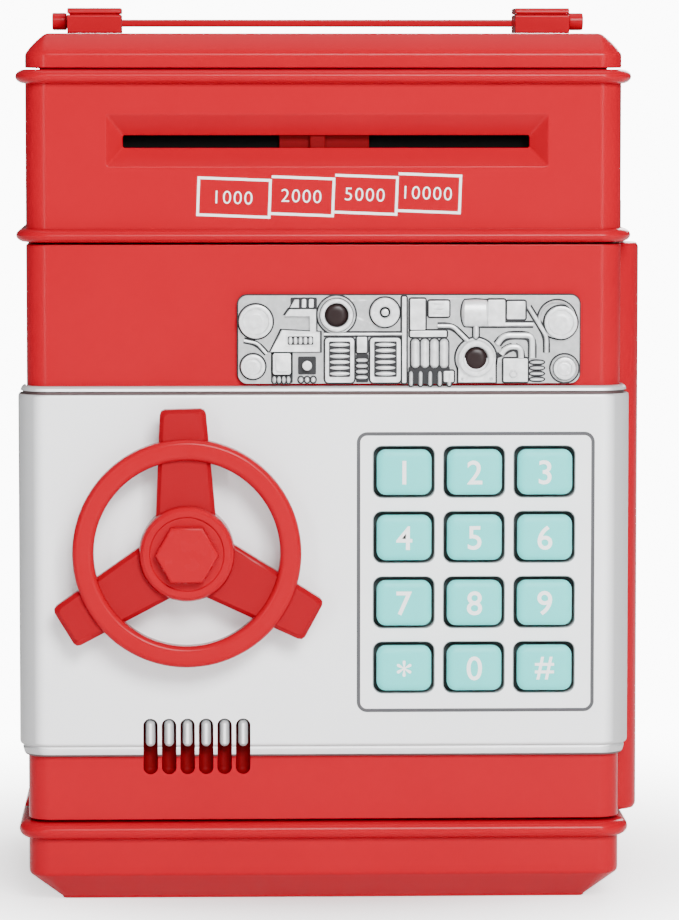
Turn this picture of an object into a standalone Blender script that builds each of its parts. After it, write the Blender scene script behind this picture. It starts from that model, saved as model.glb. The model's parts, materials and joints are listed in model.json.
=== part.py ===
"""Toy safe coin bank: red plastic safe with a keypad door, a handwheel and a motor-fed note slot.

Every size below is in millimetres and becomes metres where a mesh is made.  +Z is up, the front
faces -Y, and the origin is the centre of the underside.
"""

import math

import bmesh
import bpy
from mathutils import Matrix, Vector

MM = 0.001
GAP = 0.3

# Outer case
HALF_WIDTH = 62.9
HALF_DEPTH = 53.0
CORNER_RADIUS = 5.0
WALL = 2.5
RIB_PROUD = 2.1
TOP_Z = 184.5
FOOT_INSET = 7.0
FOOT_CHAMFER_Z = 6.3
BASE_RIB = (13.9, 17.5)
HEAD_RIB = (140.6, 143.5)
CAP_RIB = (173.9, 176.9)
CAP_CHAMFER_Z = 180.1
CAP_INSET = 4.4
TRAY_FLOOR = 4.0
CABINET_FRONT_Y = -32.1

# Door and its hinge
DOOR_Z = (18.0, 140.2)
DOOR_BACK_Y = -32.4
DOOR_WALL = 2.2
HINGE_XY = (62.2, -38.0)
HINGE_BARREL_RADIUS = 5.4
HINGE_PIN_RADIUS = 1.0
HINGE_BORE_RADIUS = 1.3

# Silver door panel
PANEL_HALF_WIDTH = 64.7
PANEL_FRONT_Y = -55.2
PANEL_WRAP_Y = -44.2
PANEL_Z = (31.7, 110.4)
PANEL_FACE_Z = (34.3, 108.6)
PANEL_EDGE_DROP = 1.2

# Mechanism plate above the panel
PLATE_X = (-18.2, 53.8)
PLATE_Z = (110.9, 129.5)
PLATE_Y = (-54.4, -53.3)
LENS_PLACES = ((2.5, 125.4), (31.9, 116.2))
LENS_RADIUS = 2.4

# Vents in front of the speaker
VENT_COUNT = 6
VENT_FIRST_X = -36.9
VENT_PITCH = 3.92
VENT_WIDTH = 3.1
VENT_Z = (27.8, 40.0)

# Keypad
KEY_ROWS = (("1", "2", "3"), ("4", "5", "6"), ("7", "8", "9"), ("star", "0", "hash"))
KEY_FIRST = (16.7, 92.3)
KEY_PITCH = (14.85, 13.85)
KEY_CAP = (11.6, 9.6)
KEY_HOLE = (12.8, 10.7)
KEY_FLANGE = (13.9, 11.8)
KEY_FRONT_Y = -57.4
KEY_CORNER = 1.7

# Handwheel
WHEEL_X = -29.2
WHEEL_Z = 75.8
WHEEL_RIM = (19.5, 24.0)
WHEEL_RIM_Y = (-64.4, -59.8)
SPOKE_TIP_RADIUS = 30.2
SPOKE_WIDTHS = (13.0, 9.7)
SPOKE_Y = (-62.9, -59.2)
SPOKE_TILT = 1.5
HUB_RADIUS = 10.0
HUB_Y = (-65.0, -57.0)
HEX_FLATS = 11.6
SHAFT_RADIUS = 3.0
SHAFT_Y = (-62.0, -26.3)
LOCK_DISC_RADIUS = 9.0
LOCK_DISC_Y = (-46.0, -44.0)
TONGUE_REACH = 29.0
TONGUE_Y = (-29.5, -27.5)

# Note feed in the head
NOTE_SLOT_X = (-42.4, 43.4)
NOTE_SLOT_Z = (160.4, 163.1)
FUNNEL_X = (-45.7, 47.0)
FUNNEL_Z = (156.7, 167.3)
FUNNEL_DEPTH = 3.6
ROLLER_Y = -36.0
ROLLER_Z = 156.5
TYRE_RADIUS = 5.0
TYRE_X = (7.0, 18.5)
PINCH_Z = 165.3
PINCH_RADIUS = 3.0
CHEEK_X = 45.6
GEAR_MODULE = 0.6
GEAR_TEETH = 24
PINION_TEETH = 10
GEAR_X = (47.6, 51.4)
MOTOR_OFFSET = (8.0, -6.55)
MOTOR_RADIUS = 6.0
HEAD_FLOOR_Z = (140.9, 142.9)

# Coin slot, handle and battery bay
COIN_SLOT = (34.0, 5.0)
COIN_SLOT_Y = 12.5
HANDLE_AXIS_Z = 187.5
HANDLE_STRAP = 1.6
HANDLE_NOSE_RADIUS = 1.9
HANDLE_ARM_X = (55.6, 58.6)
HANDLE_REACH = 38.0
LUG_X = (43.3, 55.2)
LUG_TOP_Z = 190.4
CELL_RADIUS = 7.1
CELL_LENGTH = 50.5
CELL_Y = 42.5
CELL_FIRST_Z = 29.5
CELL_PITCH = 15.0
BATTERY_HATCH = (-27.0, 27.0, 21.0, 75.0)
CASE_SCREW_X = 50.0
CASE_SCREW_Y = (-25.0, 40.0)


def clear_scene():
    for item in list(bpy.data.objects):
        bpy.data.objects.remove(item, do_unlink=True)


def plastic(name, colour, roughness=0.4, metallic=0.0):
    """A Principled material, made once for each name."""
    material = bpy.data.materials.get(name)
    if material is None:
        material = bpy.data.materials.new(name)
        material.use_nodes = True
        shader = material.node_tree.nodes["Principled BSDF"]
        shader.inputs["Base Color"].default_value = (*colour, 1.0)
        shader.inputs["Roughness"].default_value = roughness
        shader.inputs["Metallic"].default_value = metallic
    return material


def finish_object(name, mesh, material):
    mesh.validate()
    mesh.materials.append(material)
    mesh.shade_smooth()
    mesh.set_sharp_from_angle(angle=math.radians(35))
    piece = bpy.data.objects.new(name, mesh)
    bpy.context.scene.collection.objects.link(piece)
    return piece


def loft(name, rings, material):
    """A closed solid through rings of equally many points, given in millimetres."""
    shape = bmesh.new()
    layers = []
    for ring in rings:
        layers.append([shape.verts.new(Vector(point) * MM) for point in ring])
    count = len(layers[0])
    for lower, upper in zip(layers, layers[1:]):
        for index in range(count):
            after = (index + 1) % count
            shape.faces.new((lower[index], lower[after], upper[after], upper[index]))
    shape.faces.new(list(reversed(layers[0])))
    shape.faces.new(layers[-1])
    bmesh.ops.recalc_face_normals(shape, faces=shape.faces)
    mesh = bpy.data.meshes.new(name)
    shape.to_mesh(mesh)
    shape.free()
    return finish_object(name, mesh, material)


def lift(outline, axis, level):
    """Flat points (a, b) put across an axis: X takes (y, z), Y takes (x, z), Z takes (x, y)."""
    if axis == "X":
        return [(level, a, b) for a, b in outline]
    if axis == "Y":
        return [(a, level, b) for a, b in outline]
    return [(a, b, level) for a, b in outline]


def prism(name, outline, axis, low, high, material):
    return loft(name, [lift(outline, axis, low), lift(outline, axis, high)], material)


def rounded(low_a, high_a, low_b, high_b, radius_low=0.5, radius_high=None, steps=5):
    """A rectangle with round corners; the radii are those at the low-b and the high-b side."""
    if radius_high is None:
        radius_high = radius_low
    corners = (
        (high_a, high_b, radius_high, 0),
        (low_a, high_b, radius_high, 90),
        (low_a, low_b, radius_low, 180),
        (high_a, low_b, radius_low, 270),
    )
    points = []
    for corner_a, corner_b, radius, start in corners:
        centre_a = corner_a - radius if corner_a == high_a else corner_a + radius
        centre_b = corner_b - radius if corner_b == high_b else corner_b + radius
        for step in range(steps + 1):
            angle = math.radians(start + 90 * step / steps)
            points.append((centre_a + radius * math.cos(angle), centre_b + radius * math.sin(angle)))
    return points


def centred(width, height, centre_a, centre_b, radius, steps=4):
    half_a = width / 2
    half_b = height / 2
    return rounded(centre_a - half_a, centre_a + half_a, centre_b - half_b, centre_b + half_b,
                   radius, steps=steps)


def circle(centre_a, centre_b, radius, count=24, turn=0.0):
    points = []
    for index in range(count):
        angle = 2 * math.pi * index / count + turn
        points.append((centre_a + radius * math.cos(angle), centre_b + radius * math.sin(angle)))
    return points


def block(name, low, high, material):
    outline = [(low[0], low[1]), (high[0], low[1]), (high[0], high[1]), (low[0], high[1])]
    return prism(name, outline, "Z", low[2], high[2], material)


def case_ring(z, inset, front=-HALF_DEPTH):
    """The case's outline at one height, drawn in by an inset."""
    half_x = HALF_WIDTH - inset
    back = HALF_DEPTH - inset
    radius = max(CORNER_RADIUS - inset, 1.0)
    return lift(rounded(-half_x, half_x, front + inset, back, radius), "Z", z)


def case_stack(name, levels, material):
    return loft(name, [case_ring(z, inset) for z, inset in levels], material)


def rib_levels(span):
    """Levels of a half-round rib that runs round the case between two heights."""
    low, high = span
    edge = 0.25 * (high - low)
    return [(low, 0.0), (low + 0.02, -RIB_PROUD * 0.75), (low + edge, -RIB_PROUD),
            (high - edge, -RIB_PROUD), (high - 0.02, -RIB_PROUD * 0.75), (high, 0.0)]


def guide_material():
    return plastic("guide", (0.5, 0.5, 0.5))


def combine(piece, tool, operation):
    """A Boolean with a tool object that stays in the file as a wire guide."""
    tool.hide_render = True
    tool.display_type = "WIRE"
    modifier = piece.modifiers.new(tool.name, "BOOLEAN")
    modifier.operation = operation
    modifier.solver = "EXACT"
    modifier.object = tool
    return piece


def cut(piece, *tools):
    for tool in tools:
        combine(piece, tool, "DIFFERENCE")
    return piece


def fuse(piece, *tools):
    for tool in tools:
        combine(piece, tool, "UNION")
    return piece


def rod(name, axis, centre, radius, low, high, material=None, count=24, turn=0.0):
    return prism(name, circle(*centre, radius, count, turn), axis, low, high, material or guide_material())


def box_guide(name, low, high):
    return block(name, low, high, guide_material())


def put_origin(piece, point):
    """The object's origin is moved to a point without moving its shape."""
    place = Vector(point) * MM
    piece.data.transform(Matrix.Translation(-place))
    piece.location = place
    return piece


RED = plastic("red_plastic", (0.72, 0.04, 0.035), 0.32)
DARK_RED = plastic("handwheel_red_plastic", (0.76, 0.03, 0.03), 0.28)
SILVER = plastic("silver_painted_plastic", (0.76, 0.77, 0.79), 0.35, 0.35)
MINT = plastic("mint_rubber", (0.38, 0.79, 0.74), 0.5)
DARK = plastic("dark_lens", (0.02, 0.03, 0.05), 0.1)
BLACK = plastic("black_plastic", (0.02, 0.02, 0.02), 0.45)
WHITE = plastic("white_plastic", (0.8, 0.8, 0.78), 0.45)
STEEL = plastic("steel", (0.55, 0.55, 0.56), 0.3, 1.0)
BRASS = plastic("brass", (0.7, 0.5, 0.2), 0.3, 1.0)
RUBBER = plastic("black_rubber", (0.03, 0.03, 0.03), 0.8)
BOARD = plastic("circuit_board", (0.05, 0.25, 0.1), 0.5)
CELL = plastic("cell_sleeve", (0.1, 0.25, 0.5), 0.35)


def case_screw_places():
    return [(side * CASE_SCREW_X, y) for y in CASE_SCREW_Y for side in (-1, 1)]


def make_base_tray():
    """The foot: a chamfered tray with the lowest rib round its rim."""
    levels = [(0.0, FOOT_INSET), (FOOT_CHAMFER_Z, 0.0), *rib_levels(BASE_RIB)]
    tray = case_stack("base_tray", levels, RED)
    well = case_stack("base_well", [(TRAY_FLOOR, 7.9), (8.0, 4.6), (BASE_RIB[1] + 1, 4.6)], guide_material())
    cut(tray, well)
    cut(tray, rod("base_pin_bore", "Z", HINGE_XY, HINGE_BORE_RADIUS, 11.5, BASE_RIB[1] + 1, count=16))
    for number, place in enumerate(case_screw_places(), 1):
        cut(tray, rod(f"base_screw_bore_{number}", "Z", place, 1.6, -1, TRAY_FLOOR + 1, count=12))
        cut(tray, rod(f"base_counterbore_{number}", "Z", place, 3.1, -1, 2.6, count=16))
    return tray


def make_case_screws():
    for number, place in enumerate(case_screw_places(), 1):
        screw = rod(f"case_screw_{number}", "Z", place, 1.3, 1.6, 14.0, STEEL, count=12)
        fuse(screw, rod(f"case_screw_head_{number}", "Z", place, 2.8, 0.5, 2.3, count=16))


def make_cabinet_shell():
    """Two side walls and the back wall, open to the front where the door closes."""
    low_z = BASE_RIB[1] + GAP
    high_z = HEAD_RIB[0] - GAP
    outer = rounded(-HALF_WIDTH, HALF_WIDTH, CABINET_FRONT_Y, HALF_DEPTH, 0.4, CORNER_RADIUS)
    shell = prism("cabinet_shell", outer, "Z", low_z, high_z, RED)
    inner = rounded(-HALF_WIDTH + WALL, HALF_WIDTH - WALL, CABINET_FRONT_Y - 20, HALF_DEPTH - WALL,
                    0.4, CORNER_RADIUS - WALL)
    cut(shell, prism("cabinet_inside", inner, "Z", low_z - 1, high_z + 1, guide_material()))
    x0, x1, z0, z1 = BATTERY_HATCH
    cut(shell, box_guide("battery_hatch", (x0, HALF_DEPTH - WALL - 3, z0), (x1, HALF_DEPTH + 3, z1)))
    for number, place in enumerate(case_screw_places(), 1):
        side = math.copysign(1, place[0])
        x_pair = sorted((place[0], side * (HALF_WIDTH - WALL + 0.6)))
        web = box_guide(f"boss_web_{number}", (x_pair[0], place[1] - 1.5, low_z),
                        (x_pair[1], place[1] + 1.5, 34))
        fuse(shell, web)
        fuse(shell, rod(f"screw_boss_{number}", "Z", place, 3.8, TRAY_FLOOR + GAP, 34, count=16))
    for number, place in enumerate(case_screw_places(), 1):
        cut(shell, rod(f"boss_bore_{number}", "Z", place, 1.6, 0, 16, count=12))
    return shell


def funnel_rings():
    """Rings of the note slot's tapered mouth, from in front of the case back to the slot."""
    front = -HALF_DEPTH
    rings = []
    for y, share in ((front - 4, 0.0), (front, 0.0), (front + FUNNEL_DEPTH, 1.0)):
        edges = []
        for wide, narrow in ((FUNNEL_X[0], NOTE_SLOT_X[0]), (FUNNEL_X[1], NOTE_SLOT_X[1]),
                             (FUNNEL_Z[0], NOTE_SLOT_Z[0]), (FUNNEL_Z[1], NOTE_SLOT_Z[1])):
            edges.append(wide + share * (narrow - wide))
        rings.append(lift(rounded(*edges, 0.6, steps=2), "Y", y))
    return rings


def make_head_shell():
    """The upper case: four walls between two ribs, with the note slot's funnel in front."""
    shell = case_stack("head_shell", rib_levels(HEAD_RIB) + rib_levels(CAP_RIB), RED)
    low_z = HEAD_RIB[0] - 1
    high_z = CAP_RIB[1] + 1
    cut(shell, case_stack("head_inside", [(low_z, WALL), (high_z, WALL)], guide_material()))
    inner_y = -HALF_DEPTH + WALL
    fuse(shell, box_guide("slot_mask", (-50, inner_y - 1, 153), (51, inner_y + 2.6, 170)))
    cut(shell, loft("slot_funnel", funnel_rings(), guide_material()))
    cut(shell, box_guide("note_slot", (NOTE_SLOT_X[0], -60, NOTE_SLOT_Z[0]),
                         (NOTE_SLOT_X[1], -40, NOTE_SLOT_Z[1])))
    fuse(shell, rod("pin_boss", "Z", (HINGE_XY[0] - 1.0, HINGE_XY[1]), 2.7, HEAD_RIB[0] + 0.1, 149, count=16))
    cut(shell, rod("head_pin_bore", "Z", HINGE_XY, HINGE_BORE_RADIUS, low_z, 147, count=16))
    return shell


def make_top_cap():
    """The lid with its chamfered edge and the coin slot."""
    low_z = CAP_RIB[1] + GAP
    cap = case_stack("top_cap", [(low_z, 0.0), (CAP_CHAMFER_Z, 0.0), (TOP_Z, CAP_INSET)], RED)
    cut(cap, case_stack("cap_inside", [(low_z - 1, 3.0), (CAP_CHAMFER_Z, 3.0), (TOP_Z - 2.2, 6.0)],
                        guide_material()))
    slot = centred(*COIN_SLOT, 0.0, COIN_SLOT_Y, 1.0)
    cut(cap, prism("coin_slot", slot, "Z", TOP_Z - 6, TOP_Z + 3, guide_material()))
    return cap


def make_handle_lugs():
    for name, side in (("left", -1), ("right", 1)):
        outline = rounded(-6.5, 6.5, TOP_Z + GAP, LUG_TOP_Z, 0.4, 2.0)
        x_pair = sorted((side * LUG_X[0], side * LUG_X[1]))
        lug = prism(f"handle_lug_{name}", outline, "X", *x_pair, RED)
        bore_pair = sorted((side * (LUG_X[1] - 3.6), side * (LUG_X[1] + 1)))
        cut(lug, rod(f"lug_bore_{name}", "X", (0, HANDLE_AXIS_Z), 1.7, *bore_pair, count=16))


def arm_end_outline():
    """Side view of a pivot end: a half-round nose that runs back into a block."""
    radius = HANDLE_NOSE_RADIUS
    points = []
    for step in range(13):
        angle = math.radians(90 + 180 * step / 12)
        points.append((radius * math.cos(angle), HANDLE_AXIS_Z + radius * math.sin(angle)))
    return points + [(9.0, HANDLE_AXIS_Z - radius), (9.0, HANDLE_AXIS_Z + radius)]


def make_carry_handle():
    """A thin U-shaped strap that lies back over the lid, with a thick pivot end and a pin on each arm."""
    low_x, high_x = HANDLE_ARM_X
    outer = rounded(-high_x, high_x, 1.0, HANDLE_REACH + 4, 0.4, 5.0)
    strap_half = HANDLE_STRAP / 2
    handle = prism("carry_handle", outer, "Z", HANDLE_AXIS_Z - strap_half, HANDLE_AXIS_Z + strap_half, RED)
    inner = rounded(-low_x, low_x, -20.0, HANDLE_REACH - 4, 0.4, 3.0)
    cut(handle, prism("handle_loop", inner, "Z", 180, 195, guide_material()))
    swell = 0.05
    for name, side in (("left", -1), ("right", 1)):
        arm_pair = sorted((side * (low_x - swell), side * (high_x + swell)))
        pin_pair = sorted((side * (LUG_X[1] - 3.2), side * (low_x + 0.5)))
        fuse(handle, prism(f"arm_end_{name}", arm_end_outline(), "X", *arm_pair, guide_material()))
        fuse(handle, rod(f"arm_pin_{name}", "X", (0, HANDLE_AXIS_Z), 1.4, *pin_pair, count=16))
    return put_origin(handle, (0, 0, HANDLE_AXIS_Z))


def make_head_floor():
    floor = prism("head_floor", rounded(-60.1, 58.3, -50.2, 50.2, 2.2), "Z", *HEAD_FLOOR_Z, WHITE)
    cut(floor, box_guide("note_drop", (-43, -13, 139), (43, 3, 145)))
    cut(floor, box_guide("coin_drop", (-20, 6.8, 139), (20, 18.2, 145)))
    return floor


def make_coin_chute():
    half_x = COIN_SLOT[0] / 2
    half_y = COIN_SLOT[1] / 2
    wall = 1.5
    spare = 0.6
    outer = centred(2 * (half_x + spare + wall), 2 * (half_y + spare + wall), 0, COIN_SLOT_Y, 1.5)
    chute = prism("coin_chute", outer, "Z", 138.0, TOP_Z - 2.7, WHITE)
    inner = centred(2 * (half_x + spare), 2 * (half_y + spare), 0, COIN_SLOT_Y, 0.8)
    cut(chute, prism("coin_chute_bore", inner, "Z", 130, 190, guide_material()))
    return chute


def make_note_chute():
    """A bent sheet that turns a note down through the head floor."""
    upper = [(-30.0, 161.0), (-20.0, 160.4), (-12.0, 156.6), (-8.0, 150.5), (-7.2, 139.5)]
    lower = [(a - 0.6, b - 1.5) for a, b in upper]
    return prism("note_chute", upper + list(reversed(lower)), "X", -42.0, 42.0, WHITE)


def motor_axis():
    return (ROLLER_Y + MOTOR_OFFSET[0], ROLLER_Z + MOTOR_OFFSET[1])


def make_roller_cheeks():
    for name, side in (("left", -1), ("right", 1)):
        x_pair = sorted((side * (CHEEK_X - 1), side * (CHEEK_X + 1)))
        outline = rounded(-46.5, -20.0, HEAD_FLOOR_Z[1] + GAP, 171.0, 0.6, 4.0)
        cheek = prism(f"roller_cheek_{name}", outline, "X", *x_pair, WHITE)
        bores = (((ROLLER_Y, ROLLER_Z), 1.8), ((ROLLER_Y, PINCH_Z), 1.5), (motor_axis(), 1.6))
        for number, (centre, radius) in enumerate(bores):
            cut(cheek, rod(f"cheek_bore_{name}_{number}", "X", centre, radius, x_pair[0] - 1, x_pair[1] + 1,
                           count=16))


def gear_outline(centre, teeth, turn):
    """Straight-flanked teeth on a pitch circle, a little slimmer than the space they fill."""
    pitch_radius = GEAR_MODULE * teeth / 2
    root = pitch_radius - 1.15 * GEAR_MODULE
    tip = pitch_radius + 0.8 * GEAR_MODULE
    points = []
    step = 2 * math.pi / teeth
    for index in range(teeth):
        middle = index * step + turn
        for radius, share in ((root, -0.27), (tip, -0.11), (tip, 0.11), (root, 0.27)):
            angle = middle + share * step
            points.append((centre[0] + radius * math.cos(angle), centre[1] + radius * math.sin(angle)))
    return points


def make_feed_train():
    """Rubber tyres on a driven shaft, a pinch roller over it, and the motor with its gears."""
    centre = (ROLLER_Y, ROLLER_Z)
    shaft = rod("feed_roller_shaft", "X", centre, 1.5, -49.0, GEAR_X[1] + 0.8, STEEL)
    put_origin(shaft, (0, *centre))
    for name, side in (("left", -1), ("right", 1)):
        x_pair = sorted((side * TYRE_X[0], side * TYRE_X[1]))
        tyre = rod(f"feed_tyre_{name}", "X", centre, TYRE_RADIUS, *x_pair, RUBBER)
        cut(tyre, rod(f"tyre_bore_{name}", "X", centre, 1.8, x_pair[0] - 1, x_pair[1] + 1))
        put_origin(tyre, (0, *centre))
    towards_motor = math.atan2(MOTOR_OFFSET[1], MOTOR_OFFSET[0])
    gear = prism("feed_gear", gear_outline(centre, GEAR_TEETH, towards_motor), "X", *GEAR_X, WHITE)
    cut(gear, rod("gear_bore", "X", centre, 1.8, GEAR_X[0] - 1, GEAR_X[1] + 1))
    put_origin(gear, (0, *centre))

    axis = motor_axis()
    half_tooth = math.pi / PINION_TEETH
    pinion_turn = towards_motor + math.pi + half_tooth
    pinion = prism("motor_pinion", gear_outline(axis, PINION_TEETH, pinion_turn), "X", *GEAR_X, BRASS)
    fuse(pinion, rod("pinion_shaft", "X", axis, 1.0, 43.2, GEAR_X[0] + 1, count=16))
    put_origin(pinion, (0, *axis))
    motor = rod("feed_motor", "X", axis, MOTOR_RADIUS, 20.0, 44.1, STEEL, count=28)
    cut(motor, rod("motor_shaft_bore", "X", axis, 1.4, 42.0, 46.0, count=16))

    pinch_centre = (ROLLER_Y, PINCH_Z)
    pinch = rod("pinch_roller", "X", pinch_centre, PINCH_RADIUS, -40.0, 40.0, WHITE)
    fuse(pinch, rod("pinch_journals", "X", pinch_centre, 1.2, -47.5, 47.5, count=16))
    put_origin(pinch, (0, *pinch_centre))
    return motor


def make_battery_bay():
    x0, x1, z0, z1 = BATTERY_HATCH
    screw_place = (0.0, z1 - 4.0)
    back = HALF_DEPTH - WALL - GAP
    box = block("battery_box", (x0 - 1.5, 33.5, z0 - 1.0), (x1 + 1.5, back, z1 + 1.5), BLACK)
    cut(box, box_guide("cell_bay", (-26, 35.0, 22.0), (26, 60, 67.0)))
    cut(box, rod("hatch_screw_pilot", "Y", screw_place, 1.6, 42, 60, count=12))
    for number in range(3):
        centre = (CELL_Y, CELL_FIRST_Z + number * CELL_PITCH)
        rod(f"battery_cell_{number + 1}", "X", centre, CELL_RADIUS, -CELL_LENGTH / 2, CELL_LENGTH / 2, CELL)
    outline = rounded(x0 + GAP, x1 - GAP, z0 + GAP, z1 - GAP, 0.6)
    cover = prism("battery_cover", outline, "Y", back + GAP, HALF_DEPTH, RED)
    cut(cover, rod("hatch_screw_bore", "Y", screw_place, 1.6, 40, 60, count=12))
    cut(cover, rod("hatch_counterbore", "Y", screw_place, 3.0, HALF_DEPTH - 1.3, 60, count=16))
    screw = rod("battery_cover_screw", "Y", screw_place, 1.2, 44.0, HALF_DEPTH - 0.6, STEEL, count=12)
    fuse(screw, rod("hatch_screw_head", "Y", screw_place, 2.6, HALF_DEPTH - 1.0, HALF_DEPTH - 0.2, count=16))


def make_hinge_pin():
    return rod("hinge_pin", "Z", HINGE_XY, HINGE_PIN_RADIUS, 12.0, 146.5, STEEL, count=16)


def make_latch_keeper():
    """An angle on the left jamb that the tongue turns in behind."""
    left = -HALF_WIDTH + WALL + GAP
    outline = [(left, CABINET_FRONT_Y), (-54.5, CABINET_FRONT_Y), (-54.5, -30.1), (-58.8, -30.1),
               (-58.8, -20.0), (left, -20.0)]
    return prism("latch_keeper", outline, "Z", WHEEL_Z - 10, WHEEL_Z + 10, STEEL)


def vent_outline(number, low_z, high_z):
    centre_x = VENT_FIRST_X + number * VENT_PITCH
    return centred(VENT_WIDTH, high_z - low_z, centre_x, (low_z + high_z) / 2, VENT_WIDTH / 2 - 0.01, 3)


def make_door_shell():
    """The red door: a tray open to the back, with the hinge barrel down its right side."""
    outer = rounded(-HALF_WIDTH, HALF_WIDTH, -HALF_DEPTH, DOOR_BACK_Y, CORNER_RADIUS, 0.4)
    shell = prism("door_shell", outer, "Z", *DOOR_Z, RED)
    inner_z = (DOOR_Z[0] + DOOR_WALL, DOOR_Z[1] - DOOR_WALL)
    inner = rounded(-HALF_WIDTH + DOOR_WALL, 55.0, -HALF_DEPTH + DOOR_WALL, DOOR_BACK_Y + 5, 2.8, 0.4)
    cut(shell, prism("door_inside", inner, "Z", *inner_z, guide_material()))
    barrel = rod("hinge_barrel", "Z", HINGE_XY, HINGE_BARREL_RADIUS, DOOR_Z[0] + 0.05, DOOR_Z[1] - 0.05)
    fuse(shell, barrel)
    cut(shell, rod("hinge_bore", "Z", HINGE_XY, HINGE_BORE_RADIUS, DOOR_Z[0] - 1, DOOR_Z[1] + 1, count=16))
    window = rounded(8.0, 54.8, 43.0, 99.6, 1.5, steps=2)
    cut(shell, prism("keypad_window", window, "Y", -60, -49, guide_material()))
    cut(shell, rod("shell_shaft_bore", "Y", (WHEEL_X, WHEEL_Z), SHAFT_RADIUS + 0.5, -60, -45))
    for number, place in enumerate(LENS_PLACES, 1):
        cut(shell, rod(f"shell_lens_bore_{number}", "Y", place, LENS_RADIUS + GAP, -60, -45, count=16))
    for number in range(VENT_COUNT):
        outline = vent_outline(number, *VENT_Z)
        cut(shell, prism(f"shell_vent_{number}", outline, "Y", -60, -48, guide_material()))
    return put_origin(shell, (*HINGE_XY, DOOR_Z[0]))


def key_places():
    places = []
    for row, names in enumerate(KEY_ROWS):
        for column, name in enumerate(names):
            places.append((name, KEY_FIRST[0] + column * KEY_PITCH[0], KEY_FIRST[1] - row * KEY_PITCH[1]))
    return places


def panel_ring(z, drop):
    half_x = PANEL_HALF_WIDTH - drop
    return lift(rounded(-half_x, half_x, PANEL_FRONT_Y + drop, PANEL_WRAP_Y, 6.8 - drop, 0.3), "Z", z)


def make_door_panel():
    """The silver front skin, wrapped round both sides of the door."""
    rings = [panel_ring(PANEL_Z[0], PANEL_EDGE_DROP), panel_ring(PANEL_FACE_Z[0], 0.0),
             panel_ring(PANEL_FACE_Z[1], 0.0), panel_ring(PANEL_Z[1], PANEL_EDGE_DROP)]
    panel = loft("door_panel", rings, SILVER)
    half_x = HALF_WIDTH + GAP
    behind = rounded(-half_x, half_x, -HALF_DEPTH - GAP, PANEL_WRAP_Y + 5, CORNER_RADIUS + GAP, 0.3)
    cut(panel, prism("panel_inside", behind, "Z", PANEL_Z[0] - 2, PANEL_Z[1] + 2, guide_material()))
    cut(panel, rod("panel_shaft_bore", "Y", (WHEEL_X, WHEEL_Z), SHAFT_RADIUS + 0.5, -60, -45))
    for name, x, z in key_places():
        hole = centred(*KEY_HOLE, x, z, KEY_CORNER)
        cut(panel, prism(f"key_hole_{name}", hole, "Y", -60, -50, guide_material()))
    for number in range(VENT_COUNT):
        outline = vent_outline(number, PANEL_Z[0] - 4, VENT_Z[1])
        cut(panel, prism(f"panel_vent_{number}", outline, "Y", -60, -50, guide_material()))
    return put_origin(panel, (*HINGE_XY, PANEL_Z[0]))


def make_mechanism_plate():
    """A silver relief of dials, louvre boxes, tubes and pipes above the keypad."""
    plate = prism("mechanism_plate", rounded(*PLATE_X, *PLATE_Z, 1.9), "Y", *PLATE_Y, SILVER)
    back = PLATE_Y[0] + 0.4
    discs = ((-14.6, 124.0, 3.4), (-16.2 + 0.6, 114.6, 2.3), (12.8, 125.9, 3.0), (49.8, 123.9, 3.3),
             (50.9, 114.0, 2.1))
    for number, (x, z, radius) in enumerate(discs):
        fuse(plate, rod(f"relief_disc_{number}", "Y", (x, z), radius, PLATE_Y[0] - 0.6, back, count=20))
    blocks = ((0.2, 5.9, 111.8, 120.4), (9.7, 15.8, 111.9, 120.3), (28.3, 36.0, 111.4, 120.8),
              (28.4, 37.6, 122.8, 128.5), (-11.2, -1.2, 118.2, 122.6), (18.4, 25.6, 114.6, 121.4))
    for number, (x0, x1, z0, z1) in enumerate(blocks):
        outline = rounded(x0, x1, z0, z1, 0.5, steps=2)
        fuse(plate, prism(f"relief_block_{number}", outline, "Y", PLATE_Y[0] - 0.8, back, guide_material()))
    for number, place in enumerate(LENS_PLACES, 1):
        cut(plate, rod(f"plate_lens_bore_{number}", "Y", place, LENS_RADIUS + GAP, -60, -45, count=16))
        lens = rod(f"indicator_lens_{number}", "Y", place, LENS_RADIUS, -55.5, -50.5, DARK, count=20)
        put_origin(lens, (*HINGE_XY, place[1]))
    return put_origin(plate, (*HINGE_XY, PLATE_Z[0]))


def make_keys():
    """Twelve rubber keys, each with a flange that holds it behind the panel."""
    for name, x, z in key_places():
        rings = [lift(centred(KEY_CAP[0] - 1.2, KEY_CAP[1] - 1.2, x, z, KEY_CORNER - 0.5), "Y", KEY_FRONT_Y),
                 lift(centred(*KEY_CAP, x, z, KEY_CORNER), "Y", KEY_FRONT_Y + 0.7),
                 lift(centred(*KEY_CAP, x, z, KEY_CORNER), "Y", -52.7),
                 lift(centred(*KEY_FLANGE, x, z, KEY_CORNER), "Y", -52.7),
                 lift(centred(*KEY_FLANGE, x, z, KEY_CORNER), "Y", -51.4)]
        put_origin(loft(f"key_{name}", rings, MINT), (x, -51.4, z))


def make_keypad_back():
    membrane_outline = rounded(8.4, 54.4, 42.0, 100.6, 1.5, steps=2)
    membrane = prism("keypad_membrane", membrane_outline, "Y", -49.6, -48.6, RUBBER)
    board_outline = rounded(8.4, 54.4, 42.0, 100.6, 0.6, steps=2)
    board = prism("keypad_board", board_outline, "Y", -48.3, -46.7, BOARD)
    return put_origin(membrane, (*HINGE_XY, 42.0)), put_origin(board, (*HINGE_XY, 42.0))


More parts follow.
